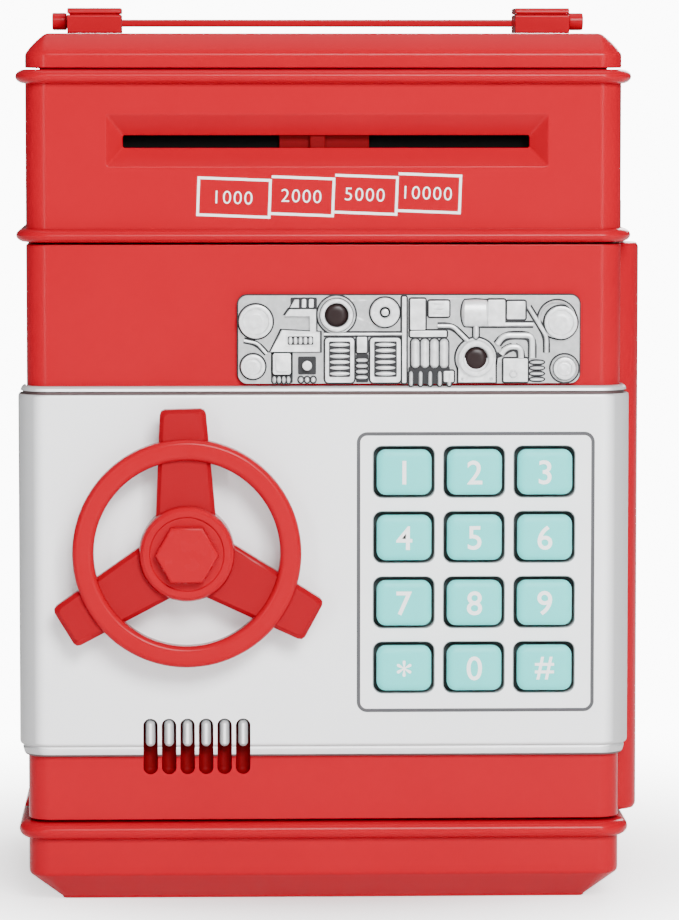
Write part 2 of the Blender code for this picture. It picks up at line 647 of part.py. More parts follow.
def make_speaker():
    middle_x = VENT_FIRST_X + VENT_PITCH * (VENT_COUNT - 1) / 2
    place = (middle_x, 33.5)
    speaker = rod("speaker", "Y", place, 11.5, -50.4, -46.4, BLACK, count=28)
    fuse(speaker, rod("speaker_magnet", "Y", place, 7.0, -46.8, -42.8, count=24))
    return put_origin(speaker, (*HINGE_XY, place[1]))


def make_door_inner_cover():
    outline = rounded(-60.3, 54.6, DOOR_Z[0] + 2.6, DOOR_Z[1] - 2.6, 0.6, steps=2)
    cover = prism("door_inner_cover", outline, "Y", -34.4, DOOR_BACK_Y, WHITE)
    cut(cover, rod("cover_shaft_bore", "Y", (WHEEL_X, WHEEL_Z), SHAFT_RADIUS + 0.5, -40, -28))
    return put_origin(cover, (*HINGE_XY, DOOR_Z[0]))


def make_lock():
    """A solenoid under the lock disc, whose plunger rises into the disc's notch."""
    centre_y = (LOCK_DISC_Y[0] + LOCK_DISC_Y[1]) / 2
    body = block("lock_solenoid", (WHEEL_X - 7, centre_y - 5, 47.0), (WHEEL_X + 7, centre_y + 5, 60.0), STEEL)
    cut(body, rod("solenoid_bore", "Z", (WHEEL_X, centre_y), 1.6, 50.0, 62.0, count=16))
    put_origin(body, (*HINGE_XY, 47.0))
    tip_z = WHEEL_Z - LOCK_DISC_RADIUS - 0.6
    plunger = rod("lock_plunger", "Z", (WHEEL_X, centre_y), 1.2, 53.5, tip_z, STEEL, count=16)
    return put_origin(plunger, (WHEEL_X, centre_y, tip_z))


def wheel_spoke(name, degrees):
    """One spoke with its lug, tapered from the hub to the tip."""
    angle = math.radians(degrees)
    along = (math.cos(angle), math.sin(angle))
    across = (-along[1], along[0])
    corners = ((4.0, -SPOKE_WIDTHS[0] / 2), (SPOKE_TIP_RADIUS - 0.8, -SPOKE_WIDTHS[1] / 2),
               (SPOKE_TIP_RADIUS, -SPOKE_WIDTHS[1] / 2 + 1.0), (SPOKE_TIP_RADIUS, SPOKE_WIDTHS[1] / 2 - 1.0),
               (SPOKE_TIP_RADIUS - 0.8, SPOKE_WIDTHS[1] / 2), (4.0, SPOKE_WIDTHS[0] / 2))
    outline = [(WHEEL_X + a * along[0] + b * across[0], WHEEL_Z + a * along[1] + b * across[1])
               for a, b in corners]
    return prism(name, outline, "Y", *SPOKE_Y, guide_material())


def make_handwheel():
    centre = (WHEEL_X, WHEEL_Z)
    low_y, high_y = WHEEL_RIM_Y
    edge = 1.0
    ring_profile = ((WHEEL_RIM[1], high_y), (WHEEL_RIM[1], low_y + edge), (WHEEL_RIM[1] - edge, low_y))
    rings = [lift(circle(*centre, radius, 48), "Y", y) for radius, y in ring_profile]
    wheel = loft("handwheel", rings, DARK_RED)
    cut(wheel, rod("rim_inside", "Y", centre, WHEEL_RIM[0], low_y - 5, high_y + 5, count=48))
    for number in range(3):
        fuse(wheel, wheel_spoke(f"spoke_{number + 1}", 90 + 120 * number + SPOKE_TILT))
    fuse(wheel, rod("wheel_hub", "Y", centre, HUB_RADIUS, *HUB_Y, count=32))
    cut(wheel, rod("hub_bore", "Y", centre, SHAFT_RADIUS + GAP, HUB_Y[0] + 2.4, HUB_Y[1] + 1))
    put_origin(wheel, (WHEEL_X, low_y, WHEEL_Z))

    corner_radius = HEX_FLATS / math.sqrt(3)
    cap = rod("hub_cap", "Y", centre, corner_radius, HUB_Y[0] - 2.6, HUB_Y[0] - GAP, DARK_RED, count=6)
    put_origin(cap, (WHEEL_X, HUB_Y[0], WHEEL_Z))

    shaft = rod("wheel_shaft", "Y", centre, SHAFT_RADIUS, *SHAFT_Y, STEEL)
    fuse(shaft, rod("lock_disc", "Y", centre, LOCK_DISC_RADIUS, *LOCK_DISC_Y, count=32))
    low, high = LOCK_DISC_Y
    x, z = centre
    cut(shaft, box_guide("lower_notch", (x - 2, low - 1, z - 12), (x + 2, high + 1, z - 4.6)))
    cut(shaft, box_guide("side_notch", (x - 12, low - 1, z - 2), (x - 4.6, high + 1, z + 2)))
    put_origin(shaft, (WHEEL_X, low, WHEEL_Z))

    tongue_outline = centred(9.0, TONGUE_REACH + 5, x, z + (TONGUE_REACH - 5) / 2, 2.0)
    tongue = prism("latch_tongue", tongue_outline, "Y", *TONGUE_Y, STEEL)
    cut(tongue, rod("tongue_bore", "Y", centre, SHAFT_RADIUS + GAP, TONGUE_Y[0] - 1, TONGUE_Y[1] + 1))
    return put_origin(tongue, (WHEEL_X, TONGUE_Y[0], WHEEL_Z))


def main():
    clear_scene()
    make_base_tray()
    make_case_screws()
    make_cabinet_shell()
    make_head_shell()
    make_top_cap()
    make_handle_lugs()
    make_carry_handle()
    make_head_floor()
    make_coin_chute()
    make_note_chute()
    make_roller_cheeks()
    make_feed_train()
    make_battery_bay()
    make_hinge_pin()
    make_latch_keeper()
    make_door_shell()
    make_door_panel()
    make_mechanism_plate()
    make_keys()
    make_keypad_back()
    make_speaker()
    make_door_inner_cover()
    make_lock()
    make_handwheel()


main()
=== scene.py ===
"""Looks of a toy safe coin bank: moulded red case, silver door panel, keypad, handwheel and note slot."""

import json
import math

import bmesh
import bpy
from bpy.props import FloatProperty, FloatVectorProperty, IntProperty, PointerProperty
from mathutils import Matrix, Vector


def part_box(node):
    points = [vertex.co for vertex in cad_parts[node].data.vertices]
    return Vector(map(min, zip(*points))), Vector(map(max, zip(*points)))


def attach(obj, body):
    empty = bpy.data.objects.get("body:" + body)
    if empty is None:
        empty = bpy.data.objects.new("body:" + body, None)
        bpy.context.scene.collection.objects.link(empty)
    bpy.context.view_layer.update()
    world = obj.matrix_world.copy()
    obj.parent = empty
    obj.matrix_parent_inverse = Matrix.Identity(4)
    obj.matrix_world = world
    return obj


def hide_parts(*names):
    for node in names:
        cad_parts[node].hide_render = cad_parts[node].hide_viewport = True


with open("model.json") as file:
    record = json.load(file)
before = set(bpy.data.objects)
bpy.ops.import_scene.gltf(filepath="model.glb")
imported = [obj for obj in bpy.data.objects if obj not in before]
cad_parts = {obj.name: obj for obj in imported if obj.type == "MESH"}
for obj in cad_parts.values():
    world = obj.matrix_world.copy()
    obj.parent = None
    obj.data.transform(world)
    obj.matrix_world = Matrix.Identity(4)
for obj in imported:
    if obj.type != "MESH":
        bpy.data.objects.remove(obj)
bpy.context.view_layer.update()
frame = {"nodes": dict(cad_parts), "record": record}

bl_info = {
    "name": "Toy Safe Coin Bank",
    "version": (1, 0, 0),
    "blender": (4, 5, 0),
    "location": "3D View > Sidebar > Safe Bank",
    "description": "Builds the finished surfaces of a toy safe coin bank around its frame",
    "category": "Add Mesh",
}

MM = 0.001


# ---------------------------------------------------------------- settings


class SafeBankSizes(bpy.types.PropertyGroup):
    """Sizes of the moulded detail."""

    edge_round: FloatProperty(name="Edge rounding", description="Radius of moulded edges", default=0.35 * MM,
                              min=0.05 * MM, unit="LENGTH", precision=5)
    corner_steps: IntProperty(name="Corner steps", description="Segments in each upright corner",
                              default=10, min=3)
    rib_proud: FloatProperty(name="Rib height", description="How far a rib stands out of the case",
                             default=2.1 * MM, unit="LENGTH", precision=5)
    digit_height: FloatProperty(name="Key digit height", description="Height of the printed key digits",
                                default=5.1 * MM, unit="LENGTH", precision=5)
    label_height: FloatProperty(name="Note label digit height",
                                description="Height of the digits over the door",
                                default=2.835 * MM, unit="LENGTH", precision=5)
    ink_thickness: FloatProperty(name="Ink thickness", description="How far print stands out of its surface",
                                 default=0.06 * MM, unit="LENGTH", precision=5)
    spoke_bevel: FloatProperty(name="Spoke bevel", description="Width of the bevel along the wheel's spokes",
                               default=0.85 * MM, unit="LENGTH", precision=5)
    vent_width: FloatProperty(name="Vent width", description="Width of one speaker vent", default=3.1 * MM,
                              unit="LENGTH", precision=5)
    camera_distance: FloatProperty(name="Camera distance", description="From the camera to the door's front",
                                   default=0.966, unit="LENGTH")


class SafeBankColours(bpy.types.PropertyGroup):
    """Colours of the finishes."""

    case_red: FloatVectorProperty(name="Case red", description="Moulded case plastic", subtype="COLOR",
                                  default=(0.345, 0.0004, 0.009), min=0, max=1)
    wheel_red: FloatVectorProperty(name="Wheel red", description="Handwheel plastic", subtype="COLOR",
                                   default=(0.335, 0.0004, 0.008), min=0, max=1)
    panel_silver: FloatVectorProperty(name="Panel silver", description="Silver paint", subtype="COLOR",
                                      default=(0.92, 0.925, 0.94), min=0, max=1)
    key_mint: FloatVectorProperty(name="Key mint", description="Rubber keys", subtype="COLOR",
                                  default=(0.060, 0.64, 0.61), min=0, max=1)
    print_white: FloatVectorProperty(name="Print white", description="Printed digits", subtype="COLOR",
                                     default=(0.92, 0.93, 0.92), min=0, max=1)


def sizes():
    return bpy.context.scene.safe_bank_sizes


def colours():
    return bpy.context.scene.safe_bank_colours


# ---------------------------------------------------------------- outlines and solids


def box_mm(node):
    low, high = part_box(node)
    return low / MM, high / MM


def middle_mm(node):
    """The middle of a frame node's box, as x, y and z."""
    return [(low + high) / 2 for low, high in zip(*box_mm(node))]


def front_spot(node):
    """The middle of a frame node seen from the front, as x and z."""
    x, _, z = middle_mm(node)
    return x, z


def top_spot(node):
    """The middle of a frame node seen from above, as x and y."""
    return tuple(middle_mm(node)[:2])


def lift(outline, axis, level):
    """Flat points (a, b) put across an axis: X takes (y, z), Y takes (x, z), Z takes (x, y)."""
    if axis == "X":
        return [(level, a, b) for a, b in outline]
    if axis == "Y":
        return [(a, level, b) for a, b in outline]
    return [(a, b, level) for a, b in outline]


def rounded(low_a, high_a, low_b, high_b, radius_low, radius_high=None, steps=8):
    """A rectangle with round corners; the radii are those at the low-b and the high-b side."""
    if radius_high is None:
        radius_high = radius_low
    corners = ((high_a, high_b, radius_high, 0), (low_a, high_b, radius_high, 90),
               (low_a, low_b, radius_low, 180), (high_a, low_b, radius_low, 270))
    points = []
    for corner_a, corner_b, radius, start in corners:
        centre_a = corner_a - radius if corner_a == high_a else corner_a + radius
        centre_b = corner_b - radius if corner_b == high_b else corner_b + radius
        for step in range(steps + 1):
            angle = math.radians(start + 90 * step / steps)
            points.append((centre_a + radius * math.cos(angle), centre_b + radius * math.sin(angle)))
    return points


def centred(width, height, centre_a, centre_b, radius):
    return rounded(centre_a - width / 2, centre_a + width / 2, centre_b - height / 2, centre_b + height / 2,
                   radius, steps=6)


def circle(centre, radius, count=48):
    return [(centre[0] + radius * math.cos(2 * math.pi * index / count),
             centre[1] + radius * math.sin(2 * math.pi * index / count)) for index in range(count)]


def add_object(name, data):
    piece = bpy.data.objects.new(name, data)
    bpy.context.scene.collection.objects.link(piece)
    return piece


def evaluated_mesh(source):
    """The mesh that an object has once its modifiers, or its curve's settings, are worked out."""
    depsgraph = bpy.context.evaluated_depsgraph_get()
    return bpy.data.meshes.new_from_object(source.evaluated_get(depsgraph), depsgraph=depsgraph)


def curve_mesh(name, curve):
    source = add_object(name, curve)
    mesh = evaluated_mesh(source)
    bpy.data.objects.remove(source)
    return mesh


def mesh_piece(name, shape, material=None):
    """A finished bmesh in millimetres made an object at the origin, in metres."""
    bmesh.ops.recalc_face_normals(shape, faces=shape.faces)
    bmesh.ops.scale(shape, vec=(MM, MM, MM), verts=shape.verts)
    mesh = bpy.data.meshes.new(name)
    shape.to_mesh(mesh)
    shape.free()
    if material is not None:
        mesh.materials.append(material)
    return smooth(add_object(name, mesh))


def smooth(piece, degrees=32):
    piece.data.shade_smooth()
    piece.data.set_sharp_from_angle(angle=math.radians(degrees))
    return piece


def add_loft(shape, rings, closed=False):
    """Walls between rings of equally many points; the ends are capped, or joined when closed."""
    layers = [[shape.verts.new(point) for point in ring] for ring in rings]
    pairs = list(zip(layers, layers[1:]))
    if closed:
        pairs.append((layers[-1], layers[0]))
    count = len(layers[0])
    for lower, upper in pairs:
        for index in range(count):
            after = (index + 1) % count
            shape.faces.new((lower[index], lower[after], upper[after], upper[index]))
    if not closed:
        shape.faces.new(list(reversed(layers[0])))
        shape.faces.new(layers[-1])


def loft(name, rings, material=None, closed=False):
    shape = bmesh.new()
    add_loft(shape, rings, closed)
    return mesh_piece(name, shape, material)


def prism(name, outline, axis, low, high, material=None):
    return loft(name, [lift(outline, axis, low), lift(outline, axis, high)], material)


def turned(name, axis, centre, profile, material=None, count=48):
    """A capped solid of circles; the profile is (place along the axis, radius) pairs."""
    rings = [lift(circle(centre, radius, count), axis, place) for place, radius in profile]
    return loft(name, rings, material)


def ring_of(name, centre, profile, count=96):
    """A closed ring round the Y axis; the profile is a closed loop of (radius, y) points."""
    rings = [lift(circle(centre, radius, count), "Y", y) for radius, y in profile]
    return loft(name, rings, closed=True)


def join(name, pieces):
    """Several objects made one."""
    shape = bmesh.new()
    materials = []
    for piece in pieces:
        first = len(shape.faces)
        shape.from_mesh(piece.data)
        shape.faces.ensure_lookup_table()
        for material in piece.data.materials:
            if material not in materials:
                materials.append(material)
        slots = [materials.index(material) for material in piece.data.materials] or [0]
        for face in shape.faces[first:]:
            face.material_index = slots[min(face.material_index, len(slots) - 1)]
        bpy.data.objects.remove(piece)
    mesh = bpy.data.meshes.new(name)
    shape.to_mesh(mesh)
    shape.free()
    for material in materials:
        mesh.materials.append(material)
    return smooth(add_object(name, mesh))


def settle(piece):
    """The object's modifiers are made part of its mesh."""
    mesh = evaluated_mesh(piece)
    piece.modifiers.clear()
    old = piece.data
    piece.data = mesh
    bpy.data.meshes.remove(old)
    return piece


def combine(piece, tools, operation):
    for tool in tools:
        modifier = piece.modifiers.new(tool.name, "BOOLEAN")
        modifier.operation = operation
        modifier.solver = "EXACT"
        modifier.material_mode = "TRANSFER"
        modifier.object = tool
    settle(piece)
    for tool in tools:
        bpy.data.objects.remove(tool)
    return smooth(piece)


def carve(piece, *tools):
    return combine(piece, tools, "DIFFERENCE")


def weld(piece, *tools):
    return combine(piece, tools, "UNION")


def soften(piece, width=0.25, degrees=40, segments=3):
    """Rounds the sharp edges with a bevel, in millimetres."""
    modifier = piece.modifiers.new("edges", "BEVEL")
    modifier.width = width * MM
    modifier.segments = segments
    modifier.limit_method = "ANGLE"
    modifier.angle_limit = math.radians(degrees)
    settle(piece)
    return smooth(piece, 30)


def paint(piece, material):
    piece.data.materials.clear()
    piece.data.materials.append(material)
    return piece


def fit(piece, material, body, slot, *nodes):
    """A finished piece gets its material, if one is given, rides on its body and stands for its nodes."""
    if material is not None:
        paint(piece, material)
    leveller = piece.modifiers.new("flat faces stay flat", "WEIGHTED_NORMAL")
    leveller.keep_sharp = True
    leveller.weight = 80
    settle(piece)
    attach(piece, body)
    if nodes:
        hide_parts(*nodes)
    return piece


# ---------------------------------------------------------------- shader groups and finishes


def new_group(name, inputs, outputs):
    tree = bpy.data.node_groups.new(name, "ShaderNodeTree")
    for label, kind, default in inputs:
        socket = tree.interface.new_socket(name=label, in_out="INPUT", socket_type=kind)
        if default is not None:
            socket.default_value = default
    for label, kind in outputs:
        tree.interface.new_socket(name=label, in_out="OUTPUT", socket_type=kind)
    return tree, tree.nodes.new("NodeGroupInput"), tree.nodes.new("NodeGroupOutput")


def add_node(tree, kind, **values):
    """A node with its properties set; a value whose name is a socket's goes to that socket."""
    node = tree.nodes.new(kind)
    for name, value in values.items():
        label = name.replace("_", " ").title()
        if label in node.inputs and not hasattr(node, name):
            node.inputs[label].default_value = value
        else:
            setattr(node, name, value)
    return node


def math_node(tree, operation, first, second=None, clamp=False):
    node = tree.nodes.new("ShaderNodeMath")
    node.operation = operation
    node.use_clamp = clamp
    for socket, value in zip(node.inputs, (first, second)):
        if value is None:
            continue
        if isinstance(value, (int, float)):
            socket.default_value = value
        else:
            tree.links.new(value, socket)
    return node.outputs[0]


def moulded_grain_group():
    """Fine moulded grain: a height, and a slow variation of tone and gloss."""
    tree, given, result = new_group(
        "Moulded grain",
        (("Vector", "NodeSocketVector", None), ("Fine Scale", "NodeSocketFloat", 2400.0),
         ("Ripple Scale", "NodeSocketFloat", 60.0), ("Ripple Share", "NodeSocketFloat", 0.35)),
        (("Height", "NodeSocketFloat"), ("Variation", "NodeSocketFloat")),
    )
    links = tree.links
    fine = add_node(tree, "ShaderNodeTexNoise", detail=2.0)
    ripple = add_node(tree, "ShaderNodeTexNoise", detail=3.0)
    links.new(given.outputs["Vector"], fine.inputs["Vector"])
    links.new(given.outputs["Fine Scale"], fine.inputs["Scale"])
    links.new(given.outputs["Vector"], ripple.inputs["Vector"])
    links.new(given.outputs["Ripple Scale"], ripple.inputs["Scale"])
    slow = math_node(tree, "MULTIPLY", ripple.outputs["Fac"], given.outputs["Ripple Share"])
    height = math_node(tree, "ADD", fine.outputs["Fac"], slow)
    links.new(height, result.inputs["Height"])
    links.new(ripple.outputs["Fac"], result.inputs["Variation"])
    return tree


def edge_wear_group():
    """Where corners and edges have been rubbed: sharp points broken up by noise."""
    tree, given, result = new_group(
        "Edge wear",
        (("Vector", "NodeSocketVector", None), ("Pointiness", "NodeSocketFloat", 0.5),
         ("Start", "NodeSocketFloat", 0.54), ("Amount", "NodeSocketFloat", 0.5)),
        (("Mask", "NodeSocketFloat"),),
    )
    links = tree.links
    noise = add_node(tree, "ShaderNodeTexNoise", detail=4.0)
    noise.inputs["Scale"].default_value = 320.0
    links.new(given.outputs["Vector"], noise.inputs["Vector"])
    rise = add_node(tree, "ShaderNodeMapRange")
    links.new(given.outputs["Pointiness"], rise.inputs["Value"])
    links.new(given.outputs["Start"], rise.inputs["From Min"])
    rise.inputs["From Max"].default_value = 0.62
    broken = add_node(tree, "ShaderNodeMapRange")
    links.new(noise.outputs["Fac"], broken.inputs["Value"])
    broken.inputs["From Min"].default_value = 0.45
    broken.inputs["From Max"].default_value = 0.65
    both = math_node(tree, "MULTIPLY", rise.outputs["Result"], broken.outputs["Result"])
    mask = math_node(tree, "MULTIPLY", both, given.outputs["Amount"], clamp=True)
    links.new(mask, result.inputs["Mask"])
    return tree


def settled_dust_group():
    """Fine dust on faces that look up."""
    tree, given, result = new_group(
        "Settled dust",
        (("Vector", "NodeSocketVector", None), ("Normal", "NodeSocketVector", None),
         ("Amount", "NodeSocketFloat", 0.15)),
        (("Mask", "NodeSocketFloat"),),
    )
    links = tree.links
    apart = tree.nodes.new("ShaderNodeSeparateXYZ")
    links.new(given.outputs["Normal"], apart.inputs["Vector"])
    upward = math_node(tree, "POWER", math_node(tree, "MAXIMUM", apart.outputs["Z"], 0.0), 3.0)
    noise = add_node(tree, "ShaderNodeTexNoise", detail=6.0)
    noise.inputs["Scale"].default_value = 90.0
    links.new(given.outputs["Vector"], noise.inputs["Vector"])
    patches = math_node(tree, "MULTIPLY", upward, noise.outputs["Fac"])
    mask = math_node(tree, "MULTIPLY", patches, given.outputs["Amount"], clamp=True)
    links.new(mask, result.inputs["Mask"])
    return tree


GROUP_MAKERS = {"Moulded grain": moulded_grain_group, "Edge wear": edge_wear_group,
                "Settled dust": settled_dust_group}


def use_group(tree, name, **values):
    group = bpy.data.node_groups.get(name) or GROUP_MAKERS[name]()
    node = tree.nodes.new("ShaderNodeGroup")
    node.node_tree = group
    for label, value in values.items():
        socket = node.inputs[label.replace("_", " ")]
        if isinstance(value, (int, float)):
            socket.default_value = value
        else:
            tree.links.new(value, socket)
    return node


def mix_colour(tree, factor, first, second):
    node = tree.nodes.new("ShaderNodeMix")
    node.data_type = "RGBA"
    tree.links.new(factor, node.inputs["Factor"])
    for socket, value in ((node.inputs[6], first), (node.inputs[7], second)):
        if isinstance(value, (tuple, list)):
            socket.default_value = (*value[:3], 1.0)
        else:
            tree.links.new(value, socket)
    return node.outputs[2]


def tinted(colour, share):
    """A colour made brighter by a positive share, or darker by a negative one."""
    return tuple(min(channel * (1 + share), 1.0) for channel in colour)


DUST_COLOUR = (0.62, 0.60, 0.57)
COAT_ROUGHNESS = 0.12


def finish(name, colour, roughness=0.35, metallic=0.0, coat=0.0, grain=0.02, fine_scale=2400.0,
           ripple_scale=60.0, tone=0.06, gloss_change=0.08, wear=0.3, wear_tint=0.35, dust=0.1, relief=None,
           subsurface=0.0, specular=0.5, sheen=0.0, painted_side_shade=0.0):
    """One moulded, painted or turned finish, varied by grain, wear and dust, with painted shade where asked.
    """
    material = bpy.data.materials.get(name)
    if material is not None:
        return material
    material = bpy.data.materials.new(name)
    material.use_nodes = True
    tree = material.node_tree
    shader = tree.nodes["Principled BSDF"]
    place = tree.nodes.new("ShaderNodeTexCoord")
    surface = tree.nodes.new("ShaderNodeNewGeometry")
    grained = use_group(tree, "Moulded grain", Vector=place.outputs["Object"], Fine_Scale=fine_scale,
                        Ripple_Scale=ripple_scale)
    worn = use_group(tree, "Edge wear", Vector=place.outputs["Object"],
                     Pointiness=surface.outputs["Pointiness"], Amount=wear)
    dusty = use_group(tree, "Settled dust", Vector=place.outputs["Object"], Normal=surface.outputs["Normal"],
                      Amount=dust)
    blend = mix_colour(tree, grained.outputs["Variation"], tinted(colour, -tone), tinted(colour, tone * 0.5))
    # painted shade in a relief's hollows, darker by depth
    if relief is not None:
        blend = paint_hollow_shade(tree, place, blend, colour, *relief)
    # painted shade on faces turned away from the front
    if painted_side_shade > 0:
        blend = paint_turned_away_shade(tree, place, blend, colour, painted_side_shade)
    blend = mix_colour(tree, worn.outputs["Mask"], blend, tinted(colour, wear_tint))
    blend = mix_colour(tree, dusty.outputs["Mask"], blend, DUST_COLOUR)
    tree.links.new(blend, shader.inputs["Base Color"])
    rough = math_node(tree, "MULTIPLY", grained.outputs["Variation"], gloss_change)
    rough = math_node(tree, "ADD", rough, roughness - gloss_change / 2)
    rough = math_node(tree, "ADD", rough, math_node(tree, "MULTIPLY", worn.outputs["Mask"], 0.2))
    rough = math_node(tree, "ADD", rough, math_node(tree, "MULTIPLY", dusty.outputs["Mask"], 0.4), clamp=True)
    tree.links.new(rough, shader.inputs["Roughness"])
    bump = tree.nodes.new("ShaderNodeBump")
    bump.inputs["Strength"].default_value = 1.0
    bump.inputs["Distance"].default_value = grain * MM
    tree.links.new(grained.outputs["Height"], bump.inputs["Height"])
    tree.links.new(bump.outputs["Normal"], shader.inputs["Normal"])
    shader.inputs["Metallic"].default_value = metallic
    shader.inputs["Coat Weight"].default_value = coat
    shader.inputs["Coat Roughness"].default_value = COAT_ROUGHNESS
    shader.inputs["Specular IOR Level"].default_value = specular
    shader.inputs["Subsurface Weight"].default_value = subsurface
    shader.inputs["Subsurface Scale"].default_value = 0.0015
    shader.inputs["Sheen Weight"].default_value = sheen
    return material


def paint_turned_away_shade(tree, place, blend, colour, darkness):
    """Painted shade: the paint is made darker where the surface turns away from the front, by the object's
    normal.
    """
    apart = tree.nodes.new("ShaderNodeSeparateXYZ")
    tree.links.new(place.outputs["Normal"], apart.inputs["Vector"])
    facing = math_node(tree, "ABSOLUTE", apart.outputs["Y"])
    away = tree.nodes.new("ShaderNodeMapRange")
    tree.links.new(facing, away.inputs["Value"])
    away.inputs["From Min"].default_value = 0.99
    away.inputs["From Max"].default_value = 0.86
    away.inputs["To Max"].default_value = darkness
    return mix_colour(tree, away.outputs["Result"], blend, tinted(colour, -0.75))


def paint_hollow_shade(tree, place, blend, colour, floor_y, crest_y, darkness):
    """Painted shade in a relief's hollows, darker by depth: strong at its floor, gone at its crests."""
    apart = tree.nodes.new("ShaderNodeSeparateXYZ")
    tree.links.new(place.outputs["Object"], apart.inputs["Vector"])
    depth = tree.nodes.new("ShaderNodeMapRange")
    tree.links.new(apart.outputs["Y"], depth.inputs["Value"])
    depth.inputs["From Min"].default_value = crest_y * MM
    depth.inputs["From Max"].default_value = floor_y * MM
    depth.inputs["To Max"].default_value = darkness
    return mix_colour(tree, depth.outputs["Result"], blend, tinted(colour, -0.9))


# y of a relief's floor and of its crests, and how dark the painted shade at its floor gets
WHEEL_HOLLOW_SHADE = (-62.6, -63.9, 0.32)
MECHANISM_HOLLOW_SHADE = (-54.2, -54.9, 0.45)


def case_red():
    return finish("case red plastic", tuple(colours().case_red), roughness=0.24, grain=0.010, tone=0.06,
                  gloss_change=0.04, wear=0.25, wear_tint=0.25, dust=0.001, specular=0.1)


def shadow_red():
    return finish("case red in shade", (0.120, 0.001, 0.003), roughness=0.6, grain=0.010, tone=0.06, wear=0.0,
                  dust=0.0, specular=0.05)


# wheel red with painted shade on its deeper faces, the spokes behind the rim
def wheel_red():
    return finish("wheel red plastic", tuple(colours().wheel_red), roughness=0.26, grain=0.010, tone=0.06,
                  gloss_change=0.04, wear=0.35, wear_tint=0.25, dust=0.001, specular=0.1,
                  relief=WHEEL_HOLLOW_SHADE)


# silver paint, with painted shade on faces turned away from the front
def panel_silver():
    return finish("silver paint", tuple(colours().panel_silver), roughness=0.40, metallic=0.15, grain=0.012,
                  fine_scale=5200.0, ripple_scale=35.0, tone=0.03, wear=0.2, wear_tint=0.1, dust=0.0,
                  painted_side_shade=0.72)


# relief silver with painted shade in its hollows
def relief_silver():
    return finish("relief silver with painted hollow shade", (0.78, 0.79, 0.80), roughness=0.38, metallic=0.35, grain=0.02,
                  fine_scale=3600.0, ripple_scale=900.0, tone=0.34, wear=0.8, wear_tint=0.25, dust=0.0,
                  relief=MECHANISM_HOLLOW_SHADE)


# near-black painted shade round the relief's raised shapes and in its dark areas
def painted_shade_grey():
    return finish("painted relief shade", (0.030, 0.030, 0.032), roughness=0.6, grain=0.02, tone=0.2, wear=0.0,
                  dust=0.0, specular=0.1)


# painted shade and a painted reflection of the red door, for the panel's lips
def lip_shade_and_reflection():
    return finish("lip painted shade and red reflection", (0.080, 0.045, 0.045), roughness=0.5, grain=0.01, tone=0.1, wear=0.0,
                  dust=0.0)


# painted shade for the bottom of the keypad outline's groove
def groove_shade_grey():
    return finish("keypad groove painted shade", (0.055, 0.055, 0.06), roughness=0.5, grain=0.01, tone=0.1, wear=0.0,
                  dust=0.0)


def key_mint():
    return finish("mint rubber", tuple(colours().key_mint), roughness=0.5, grain=0.015, fine_scale=3000.0,
                  tone=0.05, wear=0.25, wear_tint=0.3, dust=0.05, subsurface=0.1, sheen=0.1)


def print_white():
    return finish("white print", tuple(colours().print_white), roughness=0.45, grain=0.004, tone=0.05,
                  wear=0.0, dust=0.0)


def dark_glass():
    return finish("smoked window", (0.014, 0.006, 0.006), roughness=0.34, grain=0.004, tone=0.3,
                  gloss_change=0.06, wear=0.0, dust=0.01, specular=0.2)


# rubber flaps in near-black: partly their own colour, partly painted shade deep in the slot
def slot_flap_shade_black():
    return finish("slot flap rubber in painted shade", (0.003, 0.003, 0.003), roughness=0.8, grain=0.02, tone=0.3, wear=0.0,
                  dust=0.0, specular=0.03)


def black_plastic():
    return finish("black plastic", (0.018, 0.018, 0.02), roughness=0.5, grain=0.02, tone=0.15, wear=0.3,
                  wear_tint=0.06, dust=0.06)


# the keypad mat's own dark colour, also used as painted shade on the keys' skirts
def keypad_mat_and_gap_shade():
    return finish("keypad mat and key gap shade", (0.012, 0.030, 0.030), roughness=0.6, grain=0.02, tone=0.2, wear=0.1,
                  wear_tint=0.05, dust=0.03)


def white_plastic():
    return finish("white plastic", (0.72, 0.71, 0.68), roughness=0.42, grain=0.02, tone=0.05, wear=0.2,
                  wear_tint=0.3, dust=0.08, subsurface=0.04)


def plated_steel():
    return finish("plated steel", (0.56, 0.57, 0.58), roughness=0.28, metallic=1.0, grain=0.01,
                  fine_scale=1800.0, ripple_scale=400.0, tone=0.15, wear=0.3, wear_tint=0.4, dust=0.03)


def turned_brass():
    return finish("turned brass", (0.66, 0.45, 0.17), roughness=0.3, metallic=1.0, grain=0.01, tone=0.12,
                  wear=0.3, dust=0.02)


def black_rubber():
    return finish("tyre rubber", (0.022, 0.022, 0.022), roughness=0.75, grain=0.04, fine_scale=1500.0,
                  tone=0.2, wear=0.3, wear_tint=0.08, dust=0.1)


def board_green():
    return finish("board lacquer", (0.02, 0.13, 0.05), roughness=0.35, grain=0.03, fine_scale=900.0,
                  ripple_scale=300.0, tone=0.25, wear=0.1, dust=0.03)


def cell_blue():
    return finish("cell sleeve", (0.03, 0.10, 0.32), roughness=0.3, grain=0.008, coat=0.4, tone=0.08,
                  wear=0.3, wear_tint=0.5, dust=0.02)


# ---------------------------------------------------------------- geometry node trees


def realize(tree, given, result, copies):
    """Ends a tree: the copies become real geometry with the given material."""
    real = tree.nodes.new("GeometryNodeRealizeInstances")
    dressed = tree.nodes.new("GeometryNodeSetMaterial")
    tree.links.new(copies.outputs["Instances"], real.inputs["Geometry"])
    tree.links.new(real.outputs["Geometry"], dressed.inputs["Geometry"])
    tree.links.new(given.outputs["Material"], dressed.inputs["Material"])
    tree.links.new(dressed.outputs["Geometry"], result.inputs["Geometry"])


